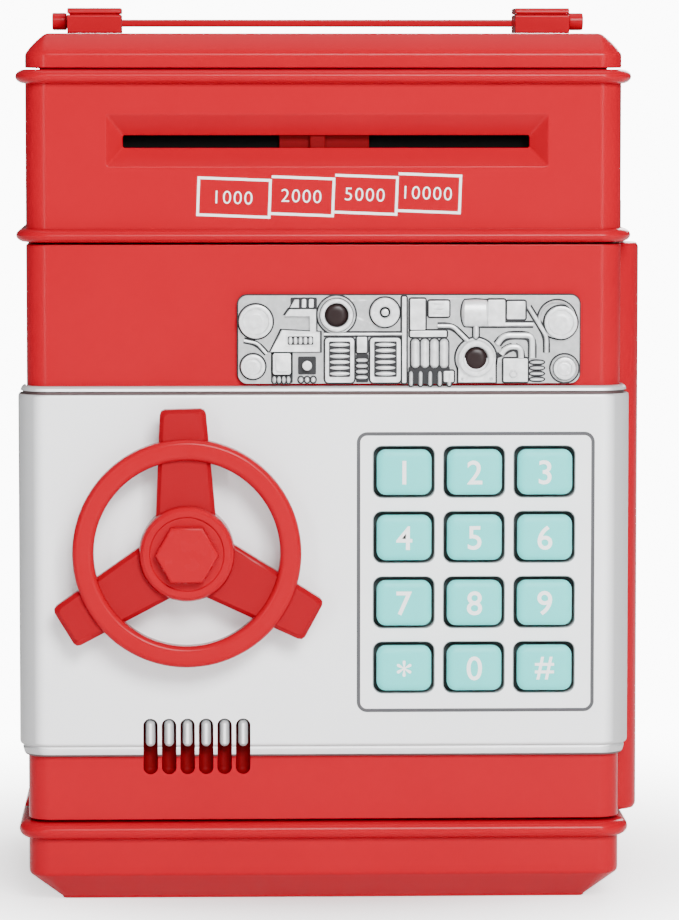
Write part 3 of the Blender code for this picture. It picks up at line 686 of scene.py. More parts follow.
def bar_row_tree():
    """A row of rounded bars: balls stretched along one way and set a step apart."""
    tree = bpy.data.node_groups.new("Rounded bar row", "GeometryNodeTree")
    face = tree.interface
    for label, kind in (("Count", "NodeSocketInt"), ("First", "NodeSocketVector"),
                        ("Step", "NodeSocketVector"), ("Radii", "NodeSocketVector"),
                        ("Stretch", "NodeSocketVector"), ("Material", "NodeSocketMaterial")):
        face.new_socket(name=label, in_out="INPUT", socket_type=kind)
    face.new_socket(name="Geometry", in_out="OUTPUT", socket_type="NodeSocketGeometry")
    nodes, links = tree.nodes, tree.links
    given = nodes.new("NodeGroupInput")
    result = nodes.new("NodeGroupOutput")
    ball = nodes.new("GeometryNodeMeshUVSphere")
    ball.inputs["Segments"].default_value = 16
    ball.inputs["Rings"].default_value = 9
    ball.inputs["Radius"].default_value = 1.0
    place = nodes.new("GeometryNodeInputPosition")
    scaled = nodes.new("ShaderNodeVectorMath")
    scaled.operation = "MULTIPLY"
    side = nodes.new("ShaderNodeVectorMath")
    side.operation = "SIGN"
    stretched = nodes.new("ShaderNodeVectorMath")
    stretched.operation = "MULTIPLY_ADD"
    shaped = nodes.new("GeometryNodeSetPosition")
    row = nodes.new("GeometryNodeMeshLine")
    copies = nodes.new("GeometryNodeInstanceOnPoints")
    links.new(place.outputs[0], scaled.inputs[0])
    links.new(given.outputs["Radii"], scaled.inputs[1])
    links.new(place.outputs[0], side.inputs[0])
    links.new(side.outputs[0], stretched.inputs[0])
    links.new(given.outputs["Stretch"], stretched.inputs[1])
    links.new(scaled.outputs[0], stretched.inputs[2])
    links.new(ball.outputs["Mesh"], shaped.inputs["Geometry"])
    links.new(stretched.outputs[0], shaped.inputs["Position"])
    links.new(given.outputs["Count"], row.inputs["Count"])
    links.new(given.outputs["First"], row.inputs["Start Location"])
    links.new(given.outputs["Step"], row.inputs["Offset"])
    links.new(row.outputs["Mesh"], copies.inputs["Points"])
    links.new(shaped.outputs["Geometry"], copies.inputs["Instance"])
    realize(tree, given, result, copies)
    return tree


def crosshead_tree():
    """A domed screw head with a cross recess on every point of the mesh, facing where Turn puts +Z."""
    tree = bpy.data.node_groups.new("Crosshead screws", "GeometryNodeTree")
    face = tree.interface
    face.new_socket(name="Geometry", in_out="INPUT", socket_type="NodeSocketGeometry")
    for label, kind in (("Head Radius", "NodeSocketFloat"), ("Head Height", "NodeSocketFloat"),
                        ("Turn", "NodeSocketRotation"), ("Material", "NodeSocketMaterial")):
        face.new_socket(name=label, in_out="INPUT", socket_type=kind)
    face.new_socket(name="Geometry", in_out="OUTPUT", socket_type="NodeSocketGeometry")
    nodes, links = tree.nodes, tree.links
    given = nodes.new("NodeGroupInput")
    result = nodes.new("NodeGroupOutput")
    head = nodes.new("GeometryNodeMeshCone")
    head.inputs["Vertices"].default_value = 32
    links.new(given.outputs["Head Radius"], head.inputs["Radius Bottom"])
    top = nodes.new("ShaderNodeMath")
    top.operation = "MULTIPLY"
    top.inputs[1].default_value = 0.8
    links.new(given.outputs["Head Radius"], top.inputs[0])
    links.new(top.outputs[0], head.inputs["Radius Top"])
    links.new(given.outputs["Head Height"], head.inputs["Depth"])
    recess = nodes.new("GeometryNodeMeshBoolean")
    recess.operation = "DIFFERENCE"
    links.new(head.outputs["Mesh"], recess.inputs["Mesh 1"])
    for along, across in ((1.15, 0.26), (0.26, 1.15)):
        arm_size = nodes.new("ShaderNodeVectorMath")
        arm_size.operation = "SCALE"
        arm_size.inputs[0].default_value = (along, across, 1.0)
        links.new(given.outputs["Head Radius"], arm_size.inputs["Scale"])
        arm = nodes.new("GeometryNodeMeshCube")
        links.new(arm_size.outputs[0], arm.inputs["Size"])
        moved = nodes.new("GeometryNodeTransform")
        rise = nodes.new("ShaderNodeCombineXYZ")
        links.new(given.outputs["Head Height"], rise.inputs["Z"])
        links.new(arm.outputs["Mesh"], moved.inputs["Geometry"])
        links.new(rise.outputs[0], moved.inputs["Translation"])
        links.new(moved.outputs["Geometry"], recess.inputs["Mesh 2"])
    copies = nodes.new("GeometryNodeInstanceOnPoints")
    links.new(given.outputs["Geometry"], copies.inputs["Points"])
    links.new(recess.outputs["Mesh"], copies.inputs["Instance"])
    links.new(given.outputs["Turn"], copies.inputs["Rotation"])
    realize(tree, given, result, copies)
    return tree


TREE_MAKERS = {"Rounded bar row": bar_row_tree, "Crosshead screws": crosshead_tree}


def grown(name, tree_name, points=((0, 0, 0),), **values):
    """A node tree run on a few points and made a plain mesh."""
    tree = bpy.data.node_groups.get(tree_name) or TREE_MAKERS[tree_name]()
    seed = bpy.data.meshes.new(name)
    seed.from_pydata([Vector(point) * MM for point in points], [], [])
    piece = add_object(name, seed)
    modifier = piece.modifiers.new(tree_name, "NODES")
    modifier.node_group = tree
    identifiers = {item.name: item.identifier for item in tree.interface.items_tree
                   if item.item_type == "SOCKET" and item.in_out == "INPUT"}
    for label, value in values.items():
        modifier[identifiers[label.replace("_", " ")]] = value
    settle(piece)
    return smooth(piece, 40)


DIGIT_SHARE = 0.72  # a digit's height as a share of its font's size


def bar_row(name, count, first, step, radii, stretch, material):
    return grown(name, "Rounded bar row", Count=count, First=tuple(Vector(first) * MM),
                 Step=tuple(Vector(step) * MM), Radii=tuple(Vector(radii) * MM),
                 Stretch=tuple(Vector(stretch) * MM), Material=material)


def screws(name, points, radius, height, turn):
    return grown(name, "Crosshead screws", points, Head_Radius=radius * MM, Head_Height=height * MM,
                 Turn=turn, Material=plated_steel())


def lettering(name, text, height, centre, front, turn=0.0, weight=0.0, spacing=1.0):
    """Printed signs, centred, facing the front; sizes in millimetres."""
    curve = bpy.data.curves.new(name, "FONT")
    curve.body = text
    curve.size = height / DIGIT_SHARE
    curve.extrude = sizes().ink_thickness / MM
    curve.offset = weight
    curve.space_character = spacing
    curve.resolution_u = 5
    curve.render_resolution_u = 5
    mesh = curve_mesh(name, curve)
    across = [vertex.co.x for vertex in mesh.vertices]
    up = [vertex.co.y for vertex in mesh.vertices]
    middle_x = (min(across) + max(across)) / 2
    middle_y = (min(up) + max(up)) / 2
    mesh.transform(Matrix.Translation((-middle_x, -middle_y, 0)))
    mesh.transform(Matrix.Rotation(math.radians(turn), 4, "Z"))
    mesh.transform(Matrix.Rotation(math.radians(90), 4, "X"))
    mesh.transform(Matrix.Translation((centre[0], front, centre[1])))
    mesh.transform(Matrix.Scale(MM, 4))
    return add_object(name, mesh)


# ---------------------------------------------------------------- the case


CASE_CORNER = 5.0
CASE_CORNER_LEAST = 0.8
WALL = 2.5
FOOT_CHAMFER = 7.0
FOOT_RIM_Z = (13.9, 17.5)
FOOT_WALL_Z = (6.9, 13.4)
CASE_SCREWS = [f"case_screw_{number}" for number in range(1, 5)]
HINGE_BORE = 1.3


def case_ring(z, inset, half_x, half_y):
    outline = rounded(-half_x + inset, half_x - inset, -half_y + inset, half_y - inset,
                      max(CASE_CORNER - inset, CASE_CORNER_LEAST), steps=sizes().corner_steps)
    return lift(outline, "Z", z)


def case_stack(name, levels, half_x, half_y):
    """A round-cornered stack of (z, inset) levels round the case's upright axis."""
    return loft(name, [case_ring(z, inset, half_x, half_y) for z, inset in levels])


def rib_levels(low, high):
    """Half-round rib levels between two heights, bottom to top."""
    proud = sizes().rib_proud / MM
    middle = (low + high) / 2
    reach = (high - low) / 2
    levels = []
    for step in range(9):
        angle = math.radians(-90 + 180 * step / 8)
        levels.append((middle + reach * math.sin(angle), -proud * math.cos(angle)))
    return levels


def rounded_edge(z, inset, radius, upward):
    """Levels that turn a wall into a flat end with a small round edge."""
    levels = []
    for step in range(4):
        angle = math.radians(90 * step / 3)
        drop = radius * (1 - math.cos(angle))
        run = radius * math.sin(angle)
        levels.append((z - radius + run if upward else z + radius - run, inset + drop))
    return levels if upward else list(reversed(levels))


class SAFEBANK_OT_foot(bpy.types.Operator):
    """Make the chamfered foot tray with its rim rib, and the case screws under it"""

    bl_idname = "safe_bank.make_foot"
    bl_label = "Foot Tray"

    def execute(self, context):
        low, high = box_mm("base_tray")
        proud = sizes().rib_proud / MM
        half_x = high.x - proud
        half_y = high.y - proud
        rim_top = FOOT_RIM_Z[1]
        levels = rounded_edge(low.z, FOOT_CHAMFER, 0.5, False)
        levels += [(5.9, 0.42), (6.3, 0.12), (FOOT_WALL_Z[0], 0.0), (FOOT_WALL_Z[1], 0.0)]
        levels += rib_levels(*FOOT_RIM_Z)
        tray = case_stack("foot_tray", levels, half_x, half_y)
        well = case_stack("foot_well", [(4.0, 7.9), (8.0, 4.6), (rim_top + 2, 4.6)], half_x, half_y)
        carve(tray, well)
        bores = [turned(f"bore_{node}", "Z", top_spot(node), [(-1, 3.1), (2.6, 3.1), (2.65, 1.6), (5, 1.6)])
                 for node in CASE_SCREWS]
        bores.append(prism("pin_bore", circle(top_spot("hinge_pin"), HINGE_BORE, 24), "Z", 11.5, rim_top + 1))
        carve(tray, *bores)
        fit(tray, case_red(), "cabinet", "red_shell", "base_tray")
        for number, node in enumerate(CASE_SCREWS, 1):
            spot = top_spot(node)
            tip = box_mm(node)[1].z
            head = screws("head", [(*spot, 2.3)], 2.8, 1.8, (math.pi, 0, 0))
            shank = turned("shank", "Z", spot, [(2.2, 1.3), (12.5, 1.3), (tip, 0.4)], plated_steel(), 20)
            fit(join(f"foot_screw_{number}", [head, shank]), plated_steel(), "cabinet", "steel", node)
        return {"FINISHED"}


WALL_FOOT_Z = 17.8
BOSS_FOOT_Z = 4.3
BOSS_TOP_Z = 34.0
HATCH_GAP = 0.3
HATCH_CORNER = 0.8


class SAFEBANK_OT_case(bpy.types.Operator):
    """Make the side and back walls, with the screw bosses inside and a flared lower edge"""

    bl_idname = "safe_bank.make_case"
    bl_label = "Case Walls"

    def execute(self, context):
        low, high = box_mm("cabinet_shell")
        foot = WALL_FOOT_Z
        rings = []
        for z, out in ((foot, 1.5), (foot + 0.8, 1.25), (foot + 2.2, 0.7), (foot + 3.8, 0.2),
                       (foot + 5.2, 0.0), (high.z - 0.3, 0.0), (high.z, -0.25)):
            outline = rounded(low.x - out, high.x + out, low.y, high.y + out, 0.5, 5.0 + out,
                              steps=sizes().corner_steps)
            rings.append(lift(outline, "Z", z))
        shell = loft("case_walls", rings)
        inner = rounded(low.x + WALL, high.x - WALL, low.y - 20, high.y - WALL, 0.4, 2.5)
        hatch_low, hatch_high = box_mm("battery_cover")
        hatch = rounded(hatch_low.x - HATCH_GAP, hatch_high.x + HATCH_GAP, hatch_low.z - HATCH_GAP,
                        hatch_high.z + HATCH_GAP, HATCH_CORNER)
        carve(shell, prism("case_inside", inner, "Z", foot - 1, high.z + 1),
              prism("hatch", hatch, "Y", high.y - 5, high.y + 5))
        webs = []
        for node in CASE_SCREWS:
            x, y = top_spot(node)
            x_pair = sorted((x, math.copysign(high.x - WALL + 0.6, x)))
            webs.append(prism("web", rounded(*x_pair, y - 1.5, y + 1.5, 0.2), "Z", foot, BOSS_TOP_Z))
            boss = [(BOSS_FOOT_Z, 3.5), (BOSS_FOOT_Z + 0.3, 3.8), (BOSS_TOP_Z + 0.05, 3.8)]
            webs.append(turned("boss", "Z", (x, y), boss, count=32))
        weld(shell, *webs)
        fit(shell, case_red(), "cabinet", "red_shell", "cabinet_shell")
        return {"FINISHED"}


NOTE_SLOT_X = (-42.4, 43.4)
NOTE_SLOT_Z = (160.4, 163.1)
FUNNEL_X = (-45.7, 47.0)
FUNNEL_Z = (156.7, 167.3)
FUNNEL_DEPTH = 3.6
SLOT_PLATE_X = (-50.0, 51.0)
SLOT_PLATE_Z = (153.0, 170.0)
GUIDE_TAB_X = (-9.4, 9.6)
GUIDE_RIDGE_X = (-3.0, 0.3)
SLOT_FLAPS = (("lower", 6.8, 157.6, 162.4), ("upper", 7.5, 161.2, 165.4))  # depth, lower and upper edge
SLOT_FLAP_X = (-44.0, 45.0)
PIN_BOSS_RADIUS = 2.7
PIN_BOSS_TOP_Z = 149.0
HEAD_WALL_Z = (144.1, 173.3)
HEAD_RIB_LOW_TOP_Z = 143.5
HEAD_RIB_HIGH_FOOT_Z = 173.9


def funnel_rings(front):
    """The slot's tapered mouth, with a softly rounded lip."""
    rings = []
    end = front + FUNNEL_DEPTH
    for y, share in ((front - 3, -0.12), (front, -0.10), (front + 0.12, -0.03), (front + 0.4, 0.07),
                     (end - 0.2, 0.96), (end, 1.0), (end + 6, 1.0)):
        edges = []
        for wide, narrow in ((FUNNEL_X[0], NOTE_SLOT_X[0]), (FUNNEL_X[1], NOTE_SLOT_X[1]),
                             (FUNNEL_Z[0], NOTE_SLOT_Z[0]), (FUNNEL_Z[1], NOTE_SLOT_Z[1])):
            edges.append(wide + share * (narrow - wide))
        rings.append(lift(rounded(*edges, 0.5, steps=4), "Y", y))
    return rings


class SAFEBANK_OT_head(bpy.types.Operator):
    """Make the head between its two ribs, with the note slot's mouth, guide and shutter"""

    bl_idname = "safe_bank.make_head"
    bl_label = "Head"

    def execute(self, context):
        low, high = box_mm("head_shell")
        proud = sizes().rib_proud / MM
        half_x = high.x - proud
        half_y = high.y - proud
        front = -half_y
        levels = rib_levels(low.z, HEAD_RIB_LOW_TOP_Z) + [(z, 0.0) for z in HEAD_WALL_Z]
        levels += rib_levels(HEAD_RIB_HIGH_FOOT_Z, high.z)
        head = case_stack("head_case", levels, half_x, half_y)
        carve(head, case_stack("head_inside", [(low.z - 2, WALL), (high.z + 2, WALL)], half_x, half_y))
        behind = rounded(*SLOT_PLATE_X, *SLOT_PLATE_Z, 1.0)
        weld(head, prism("slot_plate", behind, "Y", front + 2.0, front + 5.1))
        pin_x, pin_y = top_spot("hinge_pin")
        boss = [(low.z + 0.2, PIN_BOSS_RADIUS), (PIN_BOSS_TOP_Z, PIN_BOSS_RADIUS)]
        weld(head, turned("pin_boss", "Z", (pin_x - 1.0, pin_y), boss, count=32))
        carve(head, loft("funnel", funnel_rings(front)),
              prism("pin_bore", circle((pin_x, pin_y), HINGE_BORE, 24), "Z", low.z - 2, PIN_BOSS_TOP_Z - 2))
        fit(head, case_red(), "cabinet", "red_shell", "head_shell")

        slot_low, slot_high = NOTE_SLOT_Z
        tab = prism("guide_tab", rounded(*GUIDE_TAB_X, slot_low - 1, slot_high + 1, 0.6), "Y", front + 5.5,
                    front + 6.6)
        ridge = prism("guide_ridge", rounded(*GUIDE_RIDGE_X, slot_low - 0.6, slot_high + 0.6, 0.5), "Y",
                      front + 4.2, front + 5.8)
        fit(join("slot_guide", [soften(tab, 0.2), soften(ridge, 0.3)]), shadow_red(), "cabinet", "red_shell")
        # the flaps are near-black: painted shade deep inside the note slot
        for name, depth, low_z, high_z in SLOT_FLAPS:
            flap = prism(f"slot_flap_{name}", rounded(*SLOT_FLAP_X, low_z, high_z, 0.2), "Y", front + depth,
                         front + depth + 0.4)
            fit(flap, slot_flap_shade_black(), "cabinet", "black_rubber")
        return {"FINISHED"}


SLOPE = 4.4
SLOPE_FOOT_Z = 180.5
COIN_SLOT = (34.0, 5.0)
COIN_SLOT_Y = 12.5


class SAFEBANK_OT_lid(bpy.types.Operator):
    """Make the lid with its sloped edge and the lipped coin slot"""

    bl_idname = "safe_bank.make_lid"
    bl_label = "Lid"

    def execute(self, context):
        low, high = box_mm("top_cap")
        bend = SLOPE_FOOT_Z
        levels = [(low.z, 0.15), (low.z + 0.2, 0.0), (bend - 0.8, 0.0), (bend - 0.4, 0.06), (bend, 0.26)]
        for step in range(1, 7):
            share = step / 6
            z = bend + (high.z - 0.45 - bend) * share
            levels.append((z, 0.26 + (SLOPE - 0.9) * share - 0.25 * math.sin(math.pi * share)))
        levels += [(high.z - 0.2, SLOPE - 0.2), (high.z - 0.05, SLOPE + 0.25), (high.z, SLOPE + 0.8)]
        lid = case_stack("lid", levels, high.x, high.y)
        hollow = [(low.z - 1, 3.0), (bend - 0.4, 3.0), (high.z - 2.2, 6.0)]
        carve(lid, case_stack("lid_inside", hollow, high.x, high.y),
              prism("coin_slot", self.slot_outline(0.0, 1.2), "Z", high.z - 7, high.z + 3))
        rim = ((1.7, 2.6, -0.3), (1.7, 2.6, 0.25), (1.3, 2.2, 0.5), (0.4, 1.5, 0.5), (0.1, 1.3, 0.2),
               (0.1, 1.3, -0.3))
        rings = [lift(self.slot_outline(margin, radius), "Z", high.z + rise) for margin, radius, rise in rim]
        lip = loft("slot_lip", rings, closed=True)
        tongue = case_stack("tongue", [(low.z - 2.5, 3.0), (low.z + 1.0, 3.0)], high.x, high.y)
        carve(tongue, case_stack("tongue_inside", [(low.z - 4, 4.4), (low.z + 2, 4.4)], high.x, high.y))
        fit(join("lid_shell", [lid, lip, tongue]), case_red(), "cabinet", "red_shell", "top_cap")
        return {"FINISHED"}

    def slot_outline(self, margin, radius):
        """The coin slot's outline, made wider all round by a margin."""
        return centred(COIN_SLOT[0] + 2 * margin, COIN_SLOT[1] + 2 * margin, 0, COIN_SLOT_Y, radius)


ARM_INNER_X = 55.6
STRAP_WIDTH = 8.0
STRAP_HALF = 0.8


class SAFEBANK_OT_handle(bpy.types.Operator):
    """Make the folded strap handle and the two lugs it turns in"""

    bl_idname = "safe_bank.make_handle"
    bl_label = "Carry Handle"

    def execute(self, context):
        low, high = box_mm("carry_handle")
        axis_z = (low.z + high.z) / 2
        nose = (high.z - low.z) / 2
        arm_out = high.x - 0.05
        outer = rounded(-arm_out, arm_out, 1.0, high.y, 0.4, 5.0)
        inner = rounded(-ARM_INNER_X, ARM_INNER_X, -20.0, high.y - STRAP_WIDTH, 0.4, 3.0)
        handle = prism("handle_strap", outer, "Z", axis_z - STRAP_HALF, axis_z + STRAP_HALF)
        carve(handle, prism("loop", inner, "Z", axis_z - 5, axis_z + 5))
        soften(handle, 0.45, segments=4)
        parts = [handle]
        for side in (-1, 1):
            pair = sorted((side * (ARM_INNER_X - 0.05), side * high.x))
            points = []
            for step in range(13):
                angle = math.radians(90 + 15 * step)
                points.append((nose * math.cos(angle), axis_z + nose * math.sin(angle)))
            points += [(5.0, axis_z - nose), (9.5, axis_z - STRAP_HALF + 0.05),
                       (9.5, axis_z + STRAP_HALF - 0.05), (5.0, axis_z + nose)]
            parts.append(soften(prism("arm_end", points, "X", *pair), 0.3, 50))
            pin_ends = sorted((side * 52.0, side * (ARM_INNER_X + 0.5)))
            parts.append(turned("pin", "X", (0, axis_z), [(x, 1.4) for x in pin_ends], count=24))
        handle = join("handle", parts)
        fit(handle, case_red(), "carry_handle", "red_shell", "carry_handle")
        for name in ("left", "right"):
            node = f"handle_lug_{name}"
            lug_low, lug_high = box_mm(node)
            top = lug_high.z
            block = rounded(lug_low.y, lug_high.y, lug_low.z, top - 1.5, 0.5)
            base = prism("lug", block, "X", lug_low.x, lug_high.x)
            cover = rounded(lug_low.y + 0.2, lug_high.y - 0.2, top - 1.3, top, 0.3, 0.9)
            plate = prism("plate", cover, "X", lug_low.x, lug_high.x)
            waist = rounded(lug_low.y + 0.7, lug_high.y - 0.7, top - 2, top - 1, 0.1)
            neck = prism("neck", waist, "X", lug_low.x + 0.5, lug_high.x - 0.5)
            bored = sorted((math.copysign(51.6, lug_low.x), math.copysign(57, lug_low.x)))
            carve(base, prism("bore", circle((0, axis_z), 1.7, 32), "X", *bored))
            lug = join(f"handle_lug_{name}_moulded", [soften(base, 0.3), soften(plate, 0.25), neck])
            fit(lug, case_red(), "cabinet", "red_shell", node)
        return {"FINISHED"}


# ---------------------------------------------------------------- the door


DOOR_ROUND = 5.0
VENT_COUNT = 6
VENT_FIRST_X = -36.9
VENT_PITCH = 3.92
VENT_Z = (27.8, 40.0)
DOOR_WALL = 2.2
KEYPAD_WINDOW_X = (8.0, 54.8)
KEYPAD_WINDOW_Z = (43.0, 99.6)
BARREL_RADIUS = 5.4
SHAFT_BORE = 3.5
LENS_BORE = 2.7
LENSES = ("indicator_lens_1", "indicator_lens_2")


class SAFEBANK_OT_door(bpy.types.Operator):
    """Make the red door with its hinge barrel and the lower halves of the vents"""

    bl_idname = "safe_bank.make_door"
    bl_label = "Door"

    def execute(self, context):
        low, high = box_mm("door_shell")
        half_x = -low.x
        edge = 0.35
        rings = []
        for z, inset in ((low.z, edge), (low.z + 0.1, 0.12), (low.z + edge, 0.0), (high.z - edge, 0.0),
                         (high.z - 0.1, 0.12), (high.z, edge)):
            outline = rounded(-half_x + inset, half_x - inset, low.y + inset, high.y, DOOR_ROUND - inset, 0.5,
                              steps=sizes().corner_steps)
            rings.append(lift(outline, "Z", z))
        door = loft("door_body", rings)
        axis = top_spot("hinge_pin")
        inner = rounded(-half_x + DOOR_WALL, 55.0, low.y + DOOR_WALL, high.y + 5, DOOR_ROUND - DOOR_WALL, 0.4)
        carve(door, prism("door_inside", inner, "Z", low.z + DOOR_WALL, high.z - DOOR_WALL))
        profile = [(low.z + 0.05, 1.0), (low.z + 0.2, 0.5), (low.z + 0.8, 0.1), (low.z + 1.3, 0.0),
                   (high.z - 0.9, 0.0), (high.z - 0.2, 0.4), (high.z - 0.05, 0.8)]
        barrel = turned("barrel", "Z", axis, [(z, BARREL_RADIUS - inset) for z, inset in profile], count=64)
        weld(door, barrel)
        window = rounded(*KEYPAD_WINDOW_X, *KEYPAD_WINDOW_Z, 1.5)
        cuts = [prism("hinge_bore", circle(axis, HINGE_BORE, 32), "Z", low.z - 1, high.z + 1),
                prism("keypad_window", window, "Y", low.y - 5, low.y + 4),
                prism("shaft_bore", circle(front_spot("wheel_shaft"), SHAFT_BORE), "Y", low.y - 5, low.y + 8)]
        for node in LENSES:
            bore = circle(front_spot(node), LENS_BORE, 32)
            cuts.append(prism("lens_bore", bore, "Y", low.y - 5, low.y + 8))
        carve(door, *cuts)
        vent_middle = (VENT_Z[0] + VENT_Z[1]) / 2
        reach = (VENT_Z[1] - VENT_Z[0]) / 2 - 1.5
        vents = bar_row("vent_cut", VENT_COUNT, (VENT_FIRST_X, low.y, vent_middle), (VENT_PITCH, 0, 0),
                        (sizes().vent_width / MM / 2, 1.9, 1.5), (0, 0, reach), shadow_red())
        paint(door, case_red())
        carve(door, vents)
        fit(door, None, "door", "red_shell", "door_shell")
        return {"FINISHED"}


PANEL_FRONT_Y = -55.2
FLANGE_Y = -52.7
PANEL_ROUND = 6.6
KEYPAD_LINE_X = (6.75, 57.05)
KEYPAD_LINE_Z = (41.2, 100.7)
KEYPAD_LINE_WIDTH = 0.75
KEYPAD_LINE_ROUND = 2.2
VENT_BAR_LOW_Z = 33.9


def key_nodes():
    return sorted(name for name in frame["nodes"] if name.startswith("key_"))


def band(piece, low_z, high_z, material):
    """Every face whose centre lies between two heights gets another material."""
    piece.data.materials.append(material)
    slot = len(piece.data.materials) - 1
    for face in piece.data.polygons:
        if low_z * MM < face.center.z < high_z * MM:
            face.material_index = slot


class SAFEBANK_OT_panel(bpy.types.Operator):
    """Make the silver door panel with lipped edges, key openings, keypad outline and vent bars"""

    bl_idname = "safe_bank.make_panel"
    bl_label = "Silver Panel"

    def execute(self, context):
        low, high = box_mm("door_panel")
        half_x = high.x
        front = low.y
        rings = []
        foot = ((0.0, 1.6), (0.12, 1.25), (0.5, 0.95), (1.7, 0.62), (1.95, 0.75), (2.2, 0.75), (2.45, 0.25),
                (2.8, 0.04), (3.2, 0.0))
        lip = ((2.4, 0.0), (2.0, 0.04), (1.75, 0.22), (1.6, 0.95), (1.2, 0.95), (1.05, 0.5), (0.5, 0.6),
               (0.15, 0.95), (0.0, 1.6))
        levels = [(low.z + rise, drop) for rise, drop in foot] + [(high.z - fall, drop) for fall, drop in lip]
        for z, drop in levels:
            outline = rounded(-half_x + drop, half_x - drop, front + drop, high.y, PANEL_ROUND - drop, 0.3,
                              steps=14)
            rings.append(lift(outline, "Z", z))
        panel = loft("silver_panel", rings)
        behind = rounded(-half_x + 1.5, half_x - 1.5, front + 1.9, high.y + 5, 5.3, 0.3, steps=10)
        carve(panel, prism("panel_inside", behind, "Z", low.z - 2, high.z + 2))
        cuts = [prism("shaft_bore", circle(front_spot("wheel_shaft"), SHAFT_BORE), "Y", front - 3, front + 5)]
        for node in key_nodes():
            spot = front_spot(node)
            throat = centred(12.8, 10.7, *spot, 1.75)
            cuts.append(loft("key_opening", [lift(centred(13.4, 11.3, *spot, 2.0), "Y", front - 1),
                                             lift(centred(13.2, 11.1, *spot, 1.95), "Y", front),
                                             lift(throat, "Y", front + 0.28), lift(throat, "Y", front + 5)]))
        line = KEYPAD_LINE_WIDTH
        outer = rounded(*KEYPAD_LINE_X, *KEYPAD_LINE_Z, KEYPAD_LINE_ROUND)
        inner = rounded(KEYPAD_LINE_X[0] + line, KEYPAD_LINE_X[1] - line, KEYPAD_LINE_Z[0] + line,
                        KEYPAD_LINE_Z[1] - line, KEYPAD_LINE_ROUND - line)
        groove = [lift(outer, "Y", front - 0.5), lift(outer, "Y", front + 0.5), lift(inner, "Y", front + 0.5),
                  lift(inner, "Y", front - 0.5)]
        cuts.append(loft("keypad_line", groove, closed=True))
        width = sizes().vent_width / MM
        for number in range(VENT_COUNT):
            x = VENT_FIRST_X + number * VENT_PITCH
            outline = centred(width, VENT_Z[1] - low.z + 4, x, (VENT_Z[1] + low.z - 4) / 2, width / 2 - 0.01)
            cuts.append(prism("vent", outline, "Y", front - 3, front + 5))
        carve(panel, *cuts)
        paint(panel, panel_silver())
        # painted shade and red reflection in the top lip's groove and on the bottom lip
        band(panel, high.z - 1.75, high.z - 1.05, lip_shade_and_reflection())
        band(panel, low.z, low.z + 0.5, lip_shade_and_reflection())
        # a dark ring at the groove's bottom: painted shade in the keypad outline
        filling = [lift(outer, "Y", front + 0.7), lift(outer, "Y", front + 0.22),
                   lift(inner, "Y", front + 0.22), lift(inner, "Y", front + 0.7)]
        line_shade = loft("keypad_line_shade", filling, groove_shade_grey(), closed=True)
        panel = join("door_face", [panel, line_shade])
        fit(panel, None, "door", "silver_panel", "door_panel")

        bar_high = VENT_Z[1] - 0.35
        bar_middle = (VENT_BAR_LOW_Z + bar_high) / 2
        bar_reach = (bar_high - VENT_BAR_LOW_Z) / 2
        bar_radius = sizes().vent_width / MM / 2 - 0.5
        pills = bar_row("vent_bars", VENT_COUNT, (VENT_FIRST_X, front + 1.45, bar_middle), (VENT_PITCH, 0, 0),
                        (bar_radius, 1.65, bar_radius), (0, 0, bar_reach - bar_radius), panel_silver())
        fit(pills, panel_silver(), "door", "silver_panel")
        return {"FINISHED"}


KEY_WIDTH = 11.5
KEY_HEIGHT = 9.5
KEY_ROUND = 1.9
KEY_FLANGE = (13.9, 11.8)
KEY_SIGNS = {"star": ("*", 1.05), "hash": ("#", 0.95)}  # the sign and its size beside a digit's


class SAFEBANK_OT_keys(bpy.types.Operator):
    """Make the twelve crowned rubber keys and their printed digits"""

    bl_idname = "safe_bank.make_keys"
    bl_label = "Keys"

    def execute(self, context):
        levels = ((0.0, 3.2), (0.02, 1.6), (0.10, 0.95), (0.30, 0.42), (0.62, 0.12), (1.0, 0.0))
        for node in key_nodes():
            low, high = box_mm(node)
            spot = front_spot(node)
            front = low.y
            rings = [lift(self.outline(spot, inset), "Y", front + run) for run, inset in levels]
            rings.append(lift(self.outline(spot, 0.0), "Y", PANEL_FRONT_Y))
            neck = centred(KEY_WIDTH - 0.05, KEY_HEIGHT - 0.05, *spot, KEY_ROUND)
            flange = centred(*KEY_FLANGE, *spot, KEY_ROUND)
            # the skirt and flange get painted shade, standing for the dark gap round the key
            skirt = [lift(neck, "Y", PANEL_FRONT_Y - 0.1), lift(neck, "Y", FLANGE_Y),
                     lift(flange, "Y", FLANGE_Y), lift(flange, "Y", high.y)]
            cap = join(f"cap_{node}", [loft("cap", rings, key_mint()), loft("skirt", skirt, keypad_mat_and_gap_shade())])
            fit(cap, None, node, "mint_keys", node)
            label = node.removeprefix("key_")
            sign, scale = KEY_SIGNS.get(label, (label, 1.0))
            height = sizes().digit_height / MM * scale
            digit = lettering(f"digit_{label}", sign, height, spot, front, weight=0.08)
            fit(digit, print_white(), node, "mint_keys")
        return {"FINISHED"}

    def outline(self, spot, inset):
        return centred(KEY_WIDTH - 2 * inset, KEY_HEIGHT - 2 * inset, *spot, max(KEY_ROUND - inset, 0.4))


# ---------------------------------------------------------------- the mechanism relief


PLATE_THICKNESS = 0.9
PLATE_ROUND = 1.9
RELIEF_DROP = 1.05  # the shapes are laid out from a corner this far below the plate's own
# width and height of the sheets of painted shade round each raised shape
SHADE_RIM_WIDTH = 0.36
SHADE_RIM_HEIGHT = 0.07


